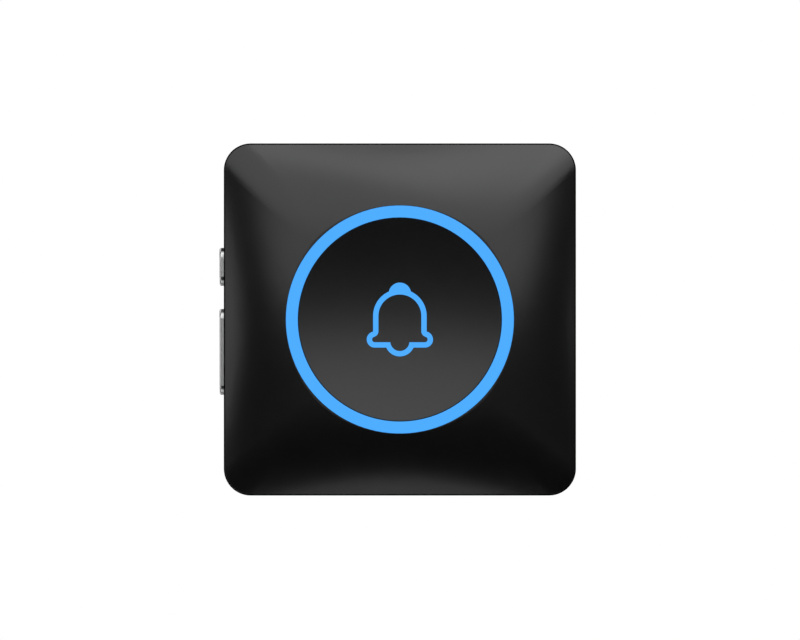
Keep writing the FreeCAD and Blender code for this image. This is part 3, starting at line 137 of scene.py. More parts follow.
# Name, shape, azimuth and elevation in degrees, distance, width and height in metres, radiance.
BOXES = [
    ("front_soft_box", "ELLIPSE", 2.3, 37.5, 0.9, 2.0, 1.31, 1.62),
    ("upper_right_box", "RECTANGLE", 53, 46, 0.9, 1.58, 0.76, 1.30),
    ("left_strip", "RECTANGLE", -66, 0, 0.8, 0.37, 0.9, 1.35),
    ("right_strip", "RECTANGLE", 72.5, 0, 0.8, 0.34, 0.9, 0.60),
    ("lower_strip", "RECTANGLE", 14, -75, 0.5, 1.2, 0.404, 0.95),
    ("left_rear_box", "RECTANGLE", -112, 38, 0.9, 0.5, 0.5, 1.0),
    ("right_rear_box", "RECTANGLE", 112, 38, 0.9, 0.5, 0.5, 1.0),
    ("high_left_rear_box", "RECTANGLE", -147, 36, 0.9, 0.5, 0.5, 1.2),
    ("high_right_rear_box", "RECTANGLE", 147, 36, 0.9, 0.5, 0.5, 1.2),
    ("low_left_rear_box", "RECTANGLE", -138, -15, 0.9, 0.8, 0.5, 1.2),
    ("low_right_rear_box", "RECTANGLE", 138, -15, 0.9, 0.8, 0.5, 1.2),
    ("under_rear_strip", "RECTANGLE", 180, -52, 0.6, 0.9, 0.45, 0.5),
]
for box in BOXES:
    soft_box(*box)


def make_world():
    """White behind the case for the camera, and nearly dark in the mirror of the black plastic."""
    world = bpy.data.worlds.new("studio")
    bpy.context.scene.world = world
    world.use_nodes = True
    nodes, links = world.node_tree.nodes, world.node_tree.links
    nodes.clear()
    seen = nodes.new("ShaderNodeLightPath")
    paper = nodes.new("ShaderNodeBackground")
    paper.inputs["Color"].default_value = (1, 1, 1, 1)
    dark = nodes.new("ShaderNodeBackground")
    dark.inputs["Color"].default_value = (DARK_ROOM, DARK_ROOM, DARK_ROOM, 1)
    mix = nodes.new("ShaderNodeMixShader")
    out = nodes.new("ShaderNodeOutputWorld")
    links.new(seen.outputs["Is Camera Ray"], mix.inputs[0])
    links.new(dark.outputs[0], mix.inputs[1])
    links.new(paper.outputs[0], mix.inputs[2])
    links.new(mix.outputs[0], out.inputs[0])


make_world()
bpy.context.scene.view_settings.view_transform = "Standard"
print("soft boxes:", len(BOXES))

# %% [markdown]
# The floor is a plain pale sheet just under the case. It neither shows in the plastic nor shades the
# strip below it, since the photograph has no floor in it at all.

# %% Floor
FLOOR_REACH = 1.2
FLOOR_GAP = 0.1 * MM
FLOOR_LEVEL = cad_bounds[0][2] - FLOOR_GAP


def make_floor():
    """One square under the case."""
    sheet = bpy.data.meshes.new("floor")
    signs = ((-1, -1), (1, -1), (1, 1), (-1, 1))
    corners = [(x * FLOOR_REACH, y * FLOOR_REACH, FLOOR_LEVEL) for x, y in signs]
    sheet.from_pydata(corners, [], [(0, 1, 2, 3)])
    made = bpy.data.objects.new("floor", sheet)
    bpy.context.scene.collection.objects.link(made)
    made.visible_glossy = False
    made.visible_shadow = False
    made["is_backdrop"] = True
    return made


floor = make_floor()
print("floor at z in mm:", round(FLOOR_LEVEL / MM, 2))

# %% [markdown]
# Every finish is a small network of nodes. To read it as a sum, a wire is an object of its own here:
# writing a * b + c on wires adds the Math nodes for it. One method adds every other kind of node. All
# patterns read Object coordinates, which are metres on the real object, so a scale of 1000 is one
# change a millimetre.

# %% Wires and finishes
class Wire:
    """A socket of a material's nodes. Sums and products of wires and numbers add Math nodes."""

    def __init__(self, finish, socket):
        self.finish = finish
        self.socket = socket

    def join(self, operation, first, second):
        """A Math node of two wires or numbers."""
        return self.finish.add("ShaderNodeMath", {"operation": operation}, {0: first, 1: second})

    def __add__(self, other):
        return self.join("ADD", self, other)

    def __mul__(self, other):
        return self.join("MULTIPLY", self, other)

    def __sub__(self, other):
        return self.join("SUBTRACT", self, other)

    def __rsub__(self, other):
        return self.join("SUBTRACT", other, self)

    def past(self, level):
        """How far the wire's size lies past a level, and nothing before it."""
        size = self.join("ABSOLUTE", self, 0.0)
        return self.join("MAXIMUM", size - level, 0.0)

    __radd__ = __add__
    __rmul__ = __mul__


class Finish:
    """A material in the making: its shader, and a method that adds any other node."""

    def __init__(self, name, **constants):
        self.material = bpy.data.materials.new(name)
        self.material.use_nodes = True
        self.tree = self.material.node_tree
        self.shader = self.tree.nodes["Principled BSDF"]
        self.place = self.add("ShaderNodeTexCoord", output="Object")
        for socket, value in constants.items():
            self.set(socket.replace("_", " "), value)

    def add(self, kind, settings=None, inputs=None, output=0):
        """A node with its settings, its inputs fed, and the wire of one of its outputs."""
        node = self.tree.nodes.new(kind)
        for setting, value in (settings or {}).items():
            setattr(node, setting, value)
        for socket, value in (inputs or {}).items():
            self.feed(node.inputs[socket], value)
        return Wire(self, node.outputs[output])

    def feed(self, socket, value):
        """Link a wire to the socket, or write a constant on it."""
        if isinstance(value, Wire):
            self.tree.links.new(value.socket, socket)
        elif isinstance(value, tuple) and socket.type == "RGBA":
            socket.default_value = (*value[:3], 1)
        else:
            socket.default_value = value

    def set(self, socket, value):
        """Feed a socket of the shader itself."""
        self.feed(self.shader.inputs[socket], value)

    def turned(self, scale=(1, 1, 1), rotation=(0, 0, 0)):
        """The place, stretched or turned."""
        return self.add("ShaderNodeMapping", None,
                        {"Vector": self.place, "Scale": scale, "Rotation": rotation})

    def axis(self, name):
        """One coordinate of the place."""
        return self.add("ShaderNodeSeparateXYZ", None, {0: self.place}, name)

    def painted(self, name):
        """A value that the mesh itself carries at its points."""
        return self.add("ShaderNodeAttribute", {"attribute_name": name}, output="Fac")

    def noise(self, scale, detail=2.0, place=None):
        """Soft grain from 0 to 1, as many changes a metre as the scale says."""
        return self.add("ShaderNodeTexNoise", None,
                        {"Vector": place or self.place, "Scale": scale, "Detail": detail})

    def cells(self, scale):
        """Distance to the nearest of many scattered points, which looks like round cells."""
        return self.add("ShaderNodeTexVoronoi", {"feature": "F1"},
                        {"Vector": self.place, "Scale": scale})

    def between(self, wire, low, high):
        """A soft step from 0 to 1 as the wire goes from one value to another."""
        return self.add("ShaderNodeMapRange", {"interpolation_type": "SMOOTHSTEP"},
                        {"Value": wire, "From Min": low, "From Max": high})

    def tone(self, low, high, mask):
        """A colour between two, by a mask from 0 to 1."""
        return self.add("ShaderNodeMix", {"data_type": "RGBA"}, {0: mask, 6: low, 7: high}, 2)

    def bump(self, height, distance):
        """Relief: the height from 0 to 1 stands for the distance in metres."""
        self.set("Normal", self.add("ShaderNodeBump", None, {"Height": height, "Distance": distance}))

    def cover(self, mask, colour):
        """Lay a dull colour over the finish where the mask is 1."""
        dull = self.add("ShaderNodeBsdfDiffuse", None, {"Color": colour})
        shiny = Wire(self, self.shader.outputs[0])
        mixed = self.add("ShaderNodeMixShader", None, {0: mask, 1: shiny, 2: dull})
        self.tree.links.new(mixed.socket, self.tree.nodes["Material Output"].inputs["Surface"])


FINISHES = {}
FINE_SHARE = 0.4
BROAD_RATIO = 14


def grained(slot, name, low, high, roughness, grain, depth, stretch=(1, 1, 1), spread=0.05,
            **constants):
    """Two tones mixed by a fine and a broad noise. The fine one is relief too, the broad one wear."""
    made = Finish(name, **constants)
    place = made.turned(stretch)
    fine = made.noise(grain, place=place)
    broad = made.noise(grain / BROAD_RATIO, place=place)
    made.set("Base Color", made.tone(low, high, fine * FINE_SHARE + broad * (1 - FINE_SHARE)))
    made.set("Roughness", roughness - spread / 2 + broad * spread)
    made.bump(fine, depth)
    FINISHES[slot] = made.material
    return made


print("finish helpers ready")

# %% [markdown]
# The front shell is moulded from black plastic and polished, so it mirrors the soft boxes with a small
# blur: a low roughness, and a relief of a few tenths of a micron that only shows close up. Its outer
# edge turns away to the wall within half a millimetre, and looks black all round, as it mirrors the
# dark room. That black is painted shade: there the finish changes to a dull black, by a mask that
# measures how far a point lies from the middle of the rounded corner.

# %% Black plastics
CORNER_MIDDLE = 33.9 * MM
RIM_START = 5.77 * MM
RIM_END = 5.83 * MM
RIM_DEPTH = 39.5 * MM
RIM_BLEND = 0.05 * MM
PAINTED_RIM_SHADE = (0.0006, 0.0006, 0.0006)

shell_finish = grained("black_shell", "shell_plastic", (0.0010, 0.0010, 0.0011),
                       (0.0018, 0.0018, 0.0019), 0.25, 2600.0, 0.0003 * MM, spread=0.02)
over_x = shell_finish.axis("X").past(CORNER_MIDDLE)
over_z = shell_finish.axis("Z").past(CORNER_MIDDLE)
rim = shell_finish.between(over_x * over_x + over_z * over_z, RIM_START ** 2, RIM_END ** 2)
front = shell_finish.between(0 - shell_finish.axis("Y"), RIM_DEPTH, RIM_DEPTH + RIM_BLEND)
# Painted shade: the front edge is covered with dull black, standing for the dark that it mirrors.
shell_finish.cover(rim * front, PAINTED_RIM_SHADE)
grained("smoked_disc", "disc_plastic", (0.0018, 0.0018, 0.0019), (0.0028, 0.0028, 0.0029), 0.245,
        3000.0, 0.0003 * MM, spread=0.02)
grained("black_cover", "cover_plastic", (0.006, 0.006, 0.0065), (0.011, 0.011, 0.012), 0.42, 2200.0,
        0.004 * MM, spread=0.08)
print("rim mask in mm:", RIM_START / MM, "to", RIM_END / MM)

# %% [markdown]
# The ring and the bell are light guides: milky plastic with lamps behind it. They are bright by
# themselves, so the finish sends out light, and a faint slow noise stands for the lamps' places.

# %% Lit blue
lit = Finish("lit_guide", Roughness=0.35)
lit.set("Base Color", lit.tone((0.010, 0.020, 0.032), (0.012, 0.024, 0.036), lit.noise(900.0)))
lit.set("Specular IOR Level", 0.1)
lit.set("Emission Color", lit.tone((0.057, 0.382, 0.97), (0.062, 0.394, 1.0), lit.noise(70.0)))
lit.set("Emission Strength", 1.0)
FINISHES["blue_light_guide"] = lit.material
print("lit pieces:", [name for name in NODES if name in ("light_ring", "bell_inlay")])

# %% [markdown]
# The keys are aluminium, brushed along their length. A brush leaves fine long scratches, so the noise
# is stretched twenty times along the key, and its relief spreads the highlight across it. The pins, the
# screws and the contacts are harder metals with short marks from their tools.

# %% Metals
grained("silver_key", "brushed_aluminium", (0.52, 0.525, 0.53), (0.57, 0.575, 0.58), 0.25, 2400.0,
        0.00025 * MM, stretch=(1, 1, 0.05), Metallic=1.0)
grained("plated_brass", "plated_pins", (0.60, 0.60, 0.58), (0.74, 0.735, 0.71), 0.22, 1800.0,
        0.002 * MM, stretch=(1, 0.08, 1), spread=0.10, Metallic=1.0)
grained("steel", "zinc_plated_steel", (0.36, 0.37, 0.38), (0.56, 0.57, 0.58), 0.30, 1500.0,
        0.003 * MM, spread=0.12, Metallic=1.0)
grained("tinned_brass", "tinned_contacts", (0.58, 0.57, 0.53), (0.74, 0.73, 0.70), 0.28, 2500.0,
        0.002 * MM, spread=0.10, Metallic=1.0)
grained("copper_wire", "enamelled_copper", (0.55, 0.20, 0.08), (0.78, 0.34, 0.15), 0.28, 2500.0,
        0.002 * MM, stretch=(1, 1, 0.2), Metallic=1.0, Coat_Weight=0.6)
print("finishes so far:", len(FINISHES))

# %% [markdown]
# A circuit board is glass cloth under a green lacquer, and the copper tracks below make the lacquer
# lighter and stand a little proud. Lines between the bricks of a wall run like such tracks, level and
# upright with steps between them, so a brick pattern draws them here. The board of the power supply is
# the cheaper kind: pressed paper and resin, tan, with fibres in it.

# %% Boards
TRACKS_PER_METRE = 420.0


def lacquered_board():
    """Green lacquer with lighter tracks, from a brick pattern turned to lie in the board's plane."""
    made = Finish("green_lacquer", Coat_Weight=0.3)
    upright = made.turned(rotation=(math.radians(90), 0, 0))
    track = made.add("ShaderNodeTexBrick", {"offset": 0.37, "squash": 1.6, "squash_frequency": 3},
                     {"Vector": upright, "Scale": TRACKS_PER_METRE, "Mortar Size": 0.035,
                      "Mortar Smooth": 0.2, "Brick Width": 1.3, "Row Height": 0.42}, "Fac")
    broken = made.between(made.noise(260.0), 0.40, 0.46)
    tracks = track * broken
    made.set("Base Color", made.tone((0.006, 0.055, 0.022), (0.020, 0.150, 0.055), tracks))
    made.set("Roughness", 0.36 + made.noise(1200.0) * 0.08)
    made.bump(tracks, 0.03 * MM)
    return made.material


def paper_board():
    """Tan resin with long fibres, drawn by two crossed stretched noises."""
    made = Finish("tan_board")
    along = made.noise(900.0, place=made.turned((0.08, 1, 1)))
    across = made.noise(900.0, place=made.turned((1, 1, 0.08)))
    fibres = along * 0.5 + across * 0.5
    made.set("Base Color", made.tone((0.30, 0.17, 0.065), (0.52, 0.33, 0.15), fibres))
    made.set("Roughness", 0.50 + along * 0.12)
    made.bump(along * across, 0.01 * MM)
    return made.material


FINISHES["circuit_board"] = lacquered_board()
FINISHES["power_board_tan"] = paper_board()
print("boards:", [name for name in NODES if name.endswith("board")])

# %% [markdown]
# The pieces inside each have the skin of the real component: resin packages are matt with a fine grain,
# sleeves and tape are smooth film, ferrite sparkles, foam has open cells, the cone is pressed paper.
# Most of these are two close tones with the right grain. Foam, tape and paper get a pattern of their
# own.

# %% Component skins
grained("chip_black", "moulded_resin", (0.012, 0.012, 0.013), (0.028, 0.028, 0.030), 0.55, 5000.0,
        0.004 * MM)
grained("white_plastic", "white_nylon", (0.66, 0.65, 0.61), (0.76, 0.755, 0.72), 0.42, 1400.0,
        0.004 * MM)
grained("silicone", "grey_silicone", (0.34, 0.35, 0.36), (0.43, 0.44, 0.45), 0.62, 1800.0,
        0.003 * MM, Subsurface_Weight=0.1)
grained("lamp_package", "lamp_resin", (0.80, 0.72, 0.36), (0.86, 0.82, 0.58), 0.30, 2600.0,
        0.002 * MM, Coat_Weight=0.4)
grained("capacitor_yellow", "yellow_film", (0.72, 0.44, 0.035), (0.82, 0.55, 0.07), 0.32, 900.0,
        0.02 * MM)
grained("capacitor_sleeve", "shrink_sleeve", (0.012, 0.016, 0.030), (0.022, 0.028, 0.048), 0.28,
        1100.0, 0.004 * MM)
grained("resistor_green", "cement_coat", (0.05, 0.20, 0.10), (0.09, 0.30, 0.15), 0.58, 2600.0,
        0.02 * MM)
grained("lead_insulation", "soft_lead_skin", (0.42, 0.018, 0.014), (0.55, 0.032, 0.024), 0.40,
        1500.0, 0.003 * MM)
grained("ferrite", "ferrite_block", (0.030, 0.030, 0.033), (0.085, 0.085, 0.090), 0.46, 6000.0,
        0.006 * MM, Metallic=0.25)


def wound_tape():
    """Amber film: its turns overlap in steps along the coil, drawn by a saw-tooth wave."""
    made = Finish("amber_tape", Coat_Weight=0.5)
    turns = made.add("ShaderNodeTexWave",
                     {"wave_type": "BANDS", "bands_direction": "Z", "wave_profile": "SAW"},
                     {"Vector": made.place, "Scale": 55.0, "Distortion": 0.4, "Detail": 1.0}, "Fac")
    mask = turns * 0.6 + made.noise(500.0) * 0.4
    made.set("Base Color", made.tone((0.50, 0.27, 0.030), (0.66, 0.42, 0.07), mask))
    made.set("Roughness", 0.26 + turns * 0.08)
    made.bump(turns, 0.04 * MM)
    return made.material


def open_foam():
    """Dark foam: round cells in two sizes, as relief, and as painted shade that darkens their hollows.
    """
    made = Finish("open_foam")
    pore_depth_and_shade = made.cells(1500.0) * 0.6 + made.cells(3400.0) * 0.4
    # The tone is painted shade: darker where the cells are deepest.
    made.set("Base Color", made.tone((0.012, 0.012, 0.013), (0.06, 0.06, 0.063), pore_depth_and_shade))
    made.set("Roughness", 0.85 + pore_depth_and_shade * 0.1)
    made.bump(pore_depth_and_shade, 0.08 * MM)
    return made.material


def cone_paper():
    """Dark pressed paper with fibres and a light sheen."""
    made = Finish("cone_paper")
    pulp = made.noise(2600.0, detail=5.0)
    made.set("Base Color", made.tone((0.018, 0.018, 0.020), (0.055, 0.054, 0.055), pulp))
    made.set("Roughness", 0.62 + pulp * 0.16)
    made.bump(pulp, 0.02 * MM)
    return made.material


FINISHES["coil_tape"] = wound_tape()
FINISHES["foam"] = open_foam()
FINISHES["speaker_paper"] = cone_paper()
print("finishes:", len(FINISHES))

# %% [markdown]
# The frame's pieces carry the name of their finish in their material slot. Each one gets the material
# made for it, and a name with no material would stop the script here.

# %% Dress the frame
for node in NODES.values():
    for index, slot in enumerate(node.material_slots):
        node.material_slots[index].material = FINISHES[slot.material.name.split(".")[0]]
paper_finish = grained("floor", "floor_paper", (0.84, 0.84, 0.84), (0.88, 0.88, 0.88), 0.8, 300.0, 0.0)
floor.data.materials.append(paper_finish.material)
print("dressed:", len(NODES))

# %% [markdown]
# The frame shows the shapes that the works need. Some small parts are plain there, and the next cells
# build them fully. Each is a surface worked out as arrays: a profile carried round a path, so that row
# i, column j of the grid is point i of the profile at place j of the path. The last column joins the
# first, and a point at each end closes the solid. A solid whose faces point inwards has a negative
# volume, so the sign of the volume says whether to turn them round.

# %% Surfaces from arrays
CREASE = math.radians(35)


def skin(rows, columns):
    """Faces of a closed surface: quads between the rows, and a fan to a pole at each end."""
    row, column = np.meshgrid(np.arange(rows - 1), np.arange(columns), indexing="ij")
    here = row * columns + column
    beside = row * columns + (column + 1) % columns
    quads = np.stack([here, beside, beside + columns, here + columns], axis=-1).reshape(-1, 4)
    start = np.arange(columns)
    following = np.roll(start, -1)
    last = (rows - 1) * columns
    first_pole = np.full(columns, rows * columns)
    first_fan = np.stack([following, start, first_pole], axis=-1)
    last_fan = np.stack([last + start, last + following, first_pole + 1], axis=-1)
    return quads, np.concatenate([first_fan, last_fan])


def volume_of(points, quads, triangles):
    """The volume inside the faces: a sixth of the sum of a dot (b cross c) over all triangles."""
    corners = np.concatenate([quads[:, [0, 1, 2]], quads[:, [0, 2, 3]], triangles])
    a, b, c = (points[corners[:, index]] for index in range(3))
    return np.einsum("ij,ij->", a, np.cross(b, c)) / 6


def outwards(points, quads, triangles):
    """The same solid with its faces turned round if the volume comes out negative."""
    if volume_of(points - points.mean(axis=0), quads, triangles) < 0:
        quads, triangles = quads[:, ::-1], triangles[:, ::-1]
    return points, quads, triangles


def build(name, solid, material, body="housing", replaces=(), painted=None):
    """Put the arrays into a mesh in metres, and say what it rides on and which nodes it stands for."""
    points, quads, triangles = outwards(*solid)
    mesh = bpy.data.meshes.new(name)
    mesh.from_pydata((points * MM).tolist(), [], quads.tolist() + triangles.tolist())
    for label, values in (painted or {}).items():
        layer = mesh.attributes.new(label, "FLOAT", "POINT")
        layer.data.foreach_set("value", values.ravel().astype(np.float32))
    mesh.shade_smooth()
    mesh.set_sharp_from_angle(angle=CREASE)
    mesh.materials.append(material)
    made = bpy.data.objects.new(name, mesh)
    bpy.context.scene.collection.objects.link(made)
    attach(made, body)
    if replaces:
        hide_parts(*replaces)
    print(name, "faces:", len(mesh.polygons))
    return made


def copies(solid, places):
    """The same solid at several places, as one set of arrays."""
    points, quads, triangles = outwards(*solid)
    shift = np.arange(len(places)) * len(points)
    moved = (points[None] + np.asarray(places, float)[:, None]).reshape(-1, 3)
    quads = (quads[None] + shift[:, None, None]).reshape(-1, 4)
    triangles = (triangles[None] + shift[:, None, None]).reshape(-1, 3)
    return moved, quads, triangles


def merged(solids):
    """Several sets of arrays as one: each set's faces count on from the points before it."""
    starts = np.cumsum([0] + [len(points) for points, _, _ in solids[:-1]])
    points = np.concatenate([points for points, _, _ in solids])
    quads = np.concatenate([quads + start for (_, quads, _), start in zip(solids, starts)])
    triangles = np.concatenate([triangles + start for (_, _, triangles), start in zip(solids, starts)])
    return points, quads, triangles


def box_mm(node):
    """The lowest and the highest corner of a node at rest, in millimetres."""
    return tuple(np.array(corner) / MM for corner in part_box(node))


def turned_solid(profile, columns, axis):
    """The surface of a profile of radius and height, turned round an axis through the origin."""
    profile = np.asarray(profile, float)
    angle = np.linspace(0, 2 * np.pi, columns, endpoint=False)
    radius, height = profile[1:-1, 0], profile[1:-1, 1]
    first = radius[:, None] * np.cos(angle)
    second = radius[:, None] * np.sin(angle)
    along = np.broadcast_to(height[:, None], first.shape)
    orders = {"x": (along, first, second), "y": (first, along, second), "z": (first, second, along)}
    grid = np.stack(orders[axis], axis=-1).reshape(-1, 3)
    unit = {"x": (1, 0, 0), "y": (0, 1, 0), "z": (0, 0, 1)}[axis]
    poles = np.outer(profile[[0, -1], 1], unit)
    quads, triangles = skin(len(radius), columns)
    return np.concatenate([grid, poles]), quads, triangles


print("surface helpers ready")

# %% [markdown]
# A capacitor is an aluminium can in a shrunk sleeve. A rubber plug closes one end, and the can is rolled
# into it, which leaves a groove. The sleeve stops just short of the flat end, where bare metal shows,
# and a pale stripe along it marks one side. The profile has all of these, and the stripe and the bare
# end are values painted on the points, since they follow the can wherever it lies.

# %% Capacitors
CAN_COLUMNS = 64
STRIPE_HALF_ANGLE = 0.42
GROOVE_PLACE = 0.16
GROOVE_RADIUS = 0.90


def sleeve_finish():
    """Dark blue film with a pale stripe, and bare spun aluminium where the sleeve ends."""
    made = Finish("striped_sleeve")
    bare = made.painted("bare")
    stripe = made.painted("stripe")
    film = made.tone((0.012, 0.016, 0.030), (0.022, 0.028, 0.048), made.noise(1100.0))
    marked = made.tone(film, (0.42, 0.44, 0.46), stripe)
    made.set("Base Color", made.tone(marked, (0.62, 0.62, 0.63), bare))
    made.set("Metallic", bare)
    made.set("Roughness", 0.28 + made.noise(1500.0) * 0.06)
    made.bump(made.noise(1100.0), 0.004 * MM)
    return made.material


def can(node, axis):
    """A can as long and thick as the node's box, its plug at height 0, with the painted values."""
    low, high = box_mm(node)
    index = "xyz".index(axis)
    length = high[index] - low[index]
    radius = np.delete(high - low, index).min() / 2
    groove = GROOVE_PLACE * length
    profile = [
        (0, 0.20), (0.70 * radius, 0.20), (0.74 * radius, 0), (0.94 * radius, 0), (radius, 0.25),
        (radius, groove - 0.55), (0.97 * radius, groove - 0.35),
        (GROOVE_RADIUS * radius, groove - 0.10), (GROOVE_RADIUS * radius, groove + 0.10),
        (0.97 * radius, groove + 0.35), (radius, groove + 0.55),
        (radius, length - 0.45), (0.985 * radius, length - 0.18), (0.93 * radius, length),
        (0.84 * radius, length), (0.83 * radius, length - 0.12), (0.80 * radius, length - 0.14),
        (0, length - 0.14),
    ]
    rings = len(profile) - 2
    angle = np.linspace(0, 2 * np.pi, CAN_COLUMNS, endpoint=False)
    stripe = np.tile(np.abs(angle - np.pi) < STRIPE_HALF_ANGLE, rings).astype(float)
    bare = np.repeat(np.arange(rings) >= rings - 2, CAN_COLUMNS).astype(float)
    painted = {"stripe": np.append(stripe, [0, 0]), "bare": np.append(bare, [0, 1])}
    return turned_solid(profile, CAN_COLUMNS, axis), painted, radius


def place_cans():
    """The two cans that lie side by side in one node, and the one that stands on the board."""
    material = sleeve_finish()
    low, high = box_mm("bulk_capacitors")
    solid, painted, radius = can("bulk_capacitors", "x")
    level = (low[1] + high[1]) / 2
    pair = copies(solid, [(low[0], level, low[2] + radius), (low[0], level, high[2] - radius)])
    painted = {label: np.tile(values, 2) for label, values in painted.items()}
    build("bulk_cans", pair, material, replaces=("bulk_capacitors",),
          painted=painted)
    low, high = box_mm("output_capacitor")
    (points, quads, triangles), painted, _ = can("output_capacitor", "y")
    standing = points * (1, -1, 1) + ((low[0] + high[0]) / 2, high[1], (low[2] + high[2]) / 2)
    build("output_can", (standing, quads, triangles), material,
          replaces=("output_capacitor",), painted=painted)


place_cans()

# %% [markdown]
# The cone of a flat speaker is a stadium of pressed paper. A half-round roll runs along its edge, which
# lets it move, then the paper slopes to a raised cap in the middle. The stadium shrinks towards the line
# between its two centres, so each ring of the surface is the same stadium with a smaller radius.

# %% Speaker cone
CONE_COLUMNS = 96
PAPER_THICKNESS = 0.35
ROLL_HEIGHT = 0.33
CONE_DROP = 1.1
CAP_HEIGHT = 0.7
ROLL_END = 0.24
CAP_START = 0.64


def cone_height(share):
    """Height over the rim by share of the way in: half a sine for the roll, a slope, then a dome."""
    roll = ROLL_HEIGHT * np.sin(np.pi * np.clip(share / ROLL_END, 0, 1))
    slope = -CONE_DROP * np.clip((share - ROLL_END) / (CAP_START - ROLL_END), 0, 1)
    inward = np.clip((share - CAP_START) / (1 - CAP_START), 0, 1)
    cap = CAP_HEIGHT * np.sqrt(1 - (1 - inward) ** 2)
    return roll + slope + cap


def make_cone():
    """Rings of a stadium with half length a and radius r, once for the back and once for the face.

    Each point at the angle t is x = a sign(cos t) + r cos t and y = r sin t.
    """
    low, high = box_mm("speaker_cone")
    middle = (low + high) / 2
    radius = (high[1] - low[1]) / 2
    half = (high[0] - low[0]) / 2 - radius
    share = np.concatenate([
        np.linspace(0, ROLL_END, 11),
        np.linspace(ROLL_END + 0.04, CAP_START, 8),
        np.linspace(CAP_START + 0.02, 0.985, 12),
    ])
    height = cone_height(share)
    rings = np.concatenate([radius * (1 - share[::-1]), radius * (1 - share)])
    back = low[2] + PAPER_THICKNESS - height[::-1]
    face = low[2] - height
    levels = np.concatenate([back, face])
    angle = np.linspace(0, 2 * np.pi, CONE_COLUMNS, endpoint=False) + np.pi / CONE_COLUMNS
    side = np.sign(np.cos(angle))
    x = middle[0] + side * half + rings[:, None] * np.cos(angle)
    y = middle[1] + rings[:, None] * np.sin(angle)
    z = np.broadcast_to(levels[:, None], x.shape)
    poles = [(middle[0], middle[1], levels[0]), (middle[0], middle[1], levels[-1])]
    points = np.concatenate([np.stack([x, y, z], axis=-1).reshape(-1, 3), poles])
    build("pressed_cone", (points, *skin(len(rings), CONE_COLUMNS)),
          FINISHES["speaker_paper"], replaces=("speaker_cone",))


make_cone()

# %% [markdown]
# Chips stand on thin bent legs, and every part with wires through the board ends in a cone of solder on
# the other side. Both are small and come in dozens, so one leg and one cone are worked out once and
# copied to a list of places, as one piece.

# %% Chip legs
LEG_REACH = 0.75
LEG_WIDTH = 0.34
LEG_THICKNESS = 0.14
LEG_LEVEL = 0.55
LEG_MARGIN = 0.5
BEND_SLANT = 0.06
QUARTER_TURNS = {"right": 0, "up": 1, "left": 2, "down": 3}
CHIPS = {
    "processor_chip": (0.65, ("right", "up", "left", "down"), "main_board"),
    "memory_chip": (1.27, ("right", "left"), "main_board"),
    "amplifier_chip": (1.0, ("up", "down"), "main_board"),
    "power_chip": (1.27, ("right", "left"), "power_board"),
}


def leg(height):
    """A bent strip that leaves the package at half its height and lies flat on the board at its end."""
    level = LEG_LEVEL * height
    upper = np.array([(-0.05, level), (0.22, level), (0.40, LEG_THICKNESS), (LEG_REACH, LEG_THICKNESS)])
    lower = upper - np.stack([(0, BEND_SLANT, BEND_SLANT, 0), np.full(4, LEG_THICKNESS)], axis=-1)
    half = LEG_WIDTH / 2
    across = np.array([-half, half, half, -half])
    out = np.stack([upper[:, 0], upper[:, 0], lower[:, 0], lower[:, 0]], axis=-1)
    up = np.stack([upper[:, 1], upper[:, 1], lower[:, 1], lower[:, 1]], axis=-1)
    grid = np.stack([out, up, np.broadcast_to(across, out.shape)], axis=-1)
    poles = grid[[0, -1]].mean(axis=1)
    return np.concatenate([grid.reshape(-1, 3), poles]), *skin(4, 4)


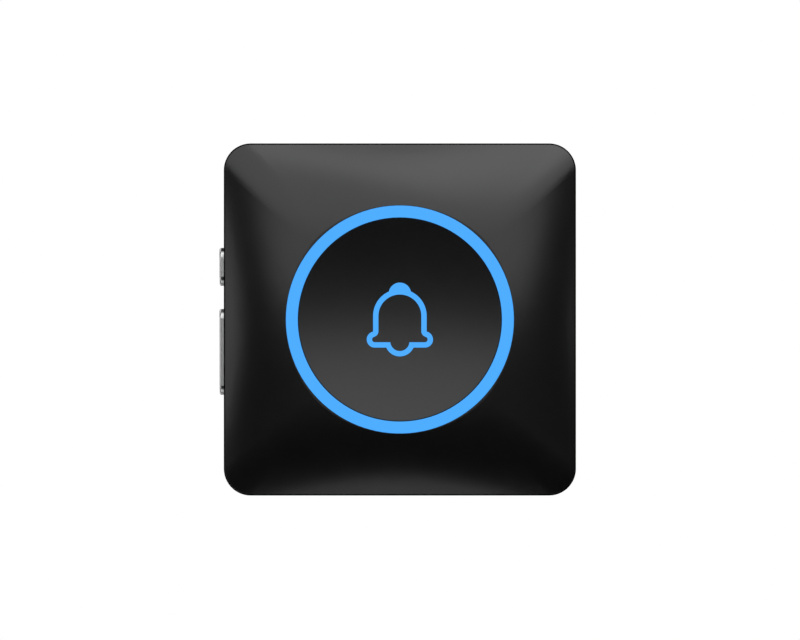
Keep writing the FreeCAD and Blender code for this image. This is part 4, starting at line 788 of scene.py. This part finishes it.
def legs_of(node, pitch, directions, board):
    """The legs on some sides of a chip: one leg, turned by quarter turns and copied along each side."""
    low, high = box_mm(node)
    board_low, board_high = box_mm(board)
    behind = low[1] > board_low[1]
    base = board_high[1] if behind else board_low[1]
    middle, half = (low + high) / 2, (high - low) / 2
    points, quads, triangles = leg(high[1] - low[1])
    sides = []
    for direction in directions:
        turn = QUARTER_TURNS[direction] * math.pi / 2
        cosine, sine = round(math.cos(turn)), round(math.sin(turn))
        rotate = np.array([(cosine, 0, sine), (0, 1 if behind else -1, 0), (-sine, 0, cosine)])
        level = direction in ("right", "left")
        along = np.array((0, 0, 1) if level else (1, 0, 0))
        edge = np.array((cosine * half[0], 0, sine * half[2]))
        count = int((2 * (half[2] if level else half[0]) - LEG_MARGIN) / pitch) + 1
        steps = (np.arange(count) - (count - 1) / 2) * pitch
        places = np.array((middle[0], base, middle[2])) + edge + steps[:, None] * along
        sides.append(copies((points @ rotate, quads, triangles), places))
    return merged(sides)


legs = merged([legs_of(node, *facts) for node, facts in CHIPS.items()])
build("chip_legs", legs, FINISHES["tinned_brass"])

# %% [markdown]
# Every wire that goes through the supply's board ends behind it in a small cone of solder, and so do the
# contacts between the two boards. The cone is hollowed, wide at the board and steep at the wire, as
# melted metal climbs.

# %% Solder cones
SOLDER_COLUMNS = 16
CONTACT_HALF = 0.32
SOLDER_PROFILE = [
    (0, -0.02), (1.0, -0.02), (0.80, 0.10), (0.55, 0.28), (0.42, 0.55), (0.28, 0.62), (0, 0.64),
]
WIRE_ENDS = [
    (-16.0, 9.0), (-16.0, 15.0), (-8.0, 9.0), (-8.0, 15.0), (7.4, -8.0), (10.6, -8.0), (-22.0, 6.5),
    (-22.0, 17.5), (-19.0, -3.0), (-19.0, -9.0), (19.0, -4.0), (21.0, -4.0), (6.2, 2.9), (6.2, 5.1),
    (6.2, 12.4), (6.2, 14.6),
]


def solder_cones():
    """Cones behind the supply's board, and on both outer faces at the four contacts."""
    _, board_high = box_mm("power_board")
    main_low, _ = box_mm("main_board")
    pins_low, pins_high = box_mm("link_pins")
    contacts = np.linspace(pins_low[0] + CONTACT_HALF, pins_high[0] - CONTACT_HALF, 4)
    level = (pins_low[2] + pins_high[2]) / 2
    cone = turned_solid(SOLDER_PROFILE, SOLDER_COLUMNS, "y")
    rear = [(x, board_high[1], z) for x, z in WIRE_ENDS] + [(x, board_high[1], level) for x in contacts]
    forward = (cone[0] * (1, -1, 1), *cone[1:])
    front_places = [(x, main_low[1], level) for x in contacts]
    return merged([copies(cone, rear), copies(forward, front_places)])


build("solder_cones", solder_cones(), FINISHES["tinned_brass"])

# %% Measure and finish
visual_bounds = [list(corner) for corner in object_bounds()]
print("largest change of the box in mm:",
      round(max(abs(a - b) for c, v in zip(cad_bounds, visual_bounds) for a, b in zip(c, v)) / MM, 3))
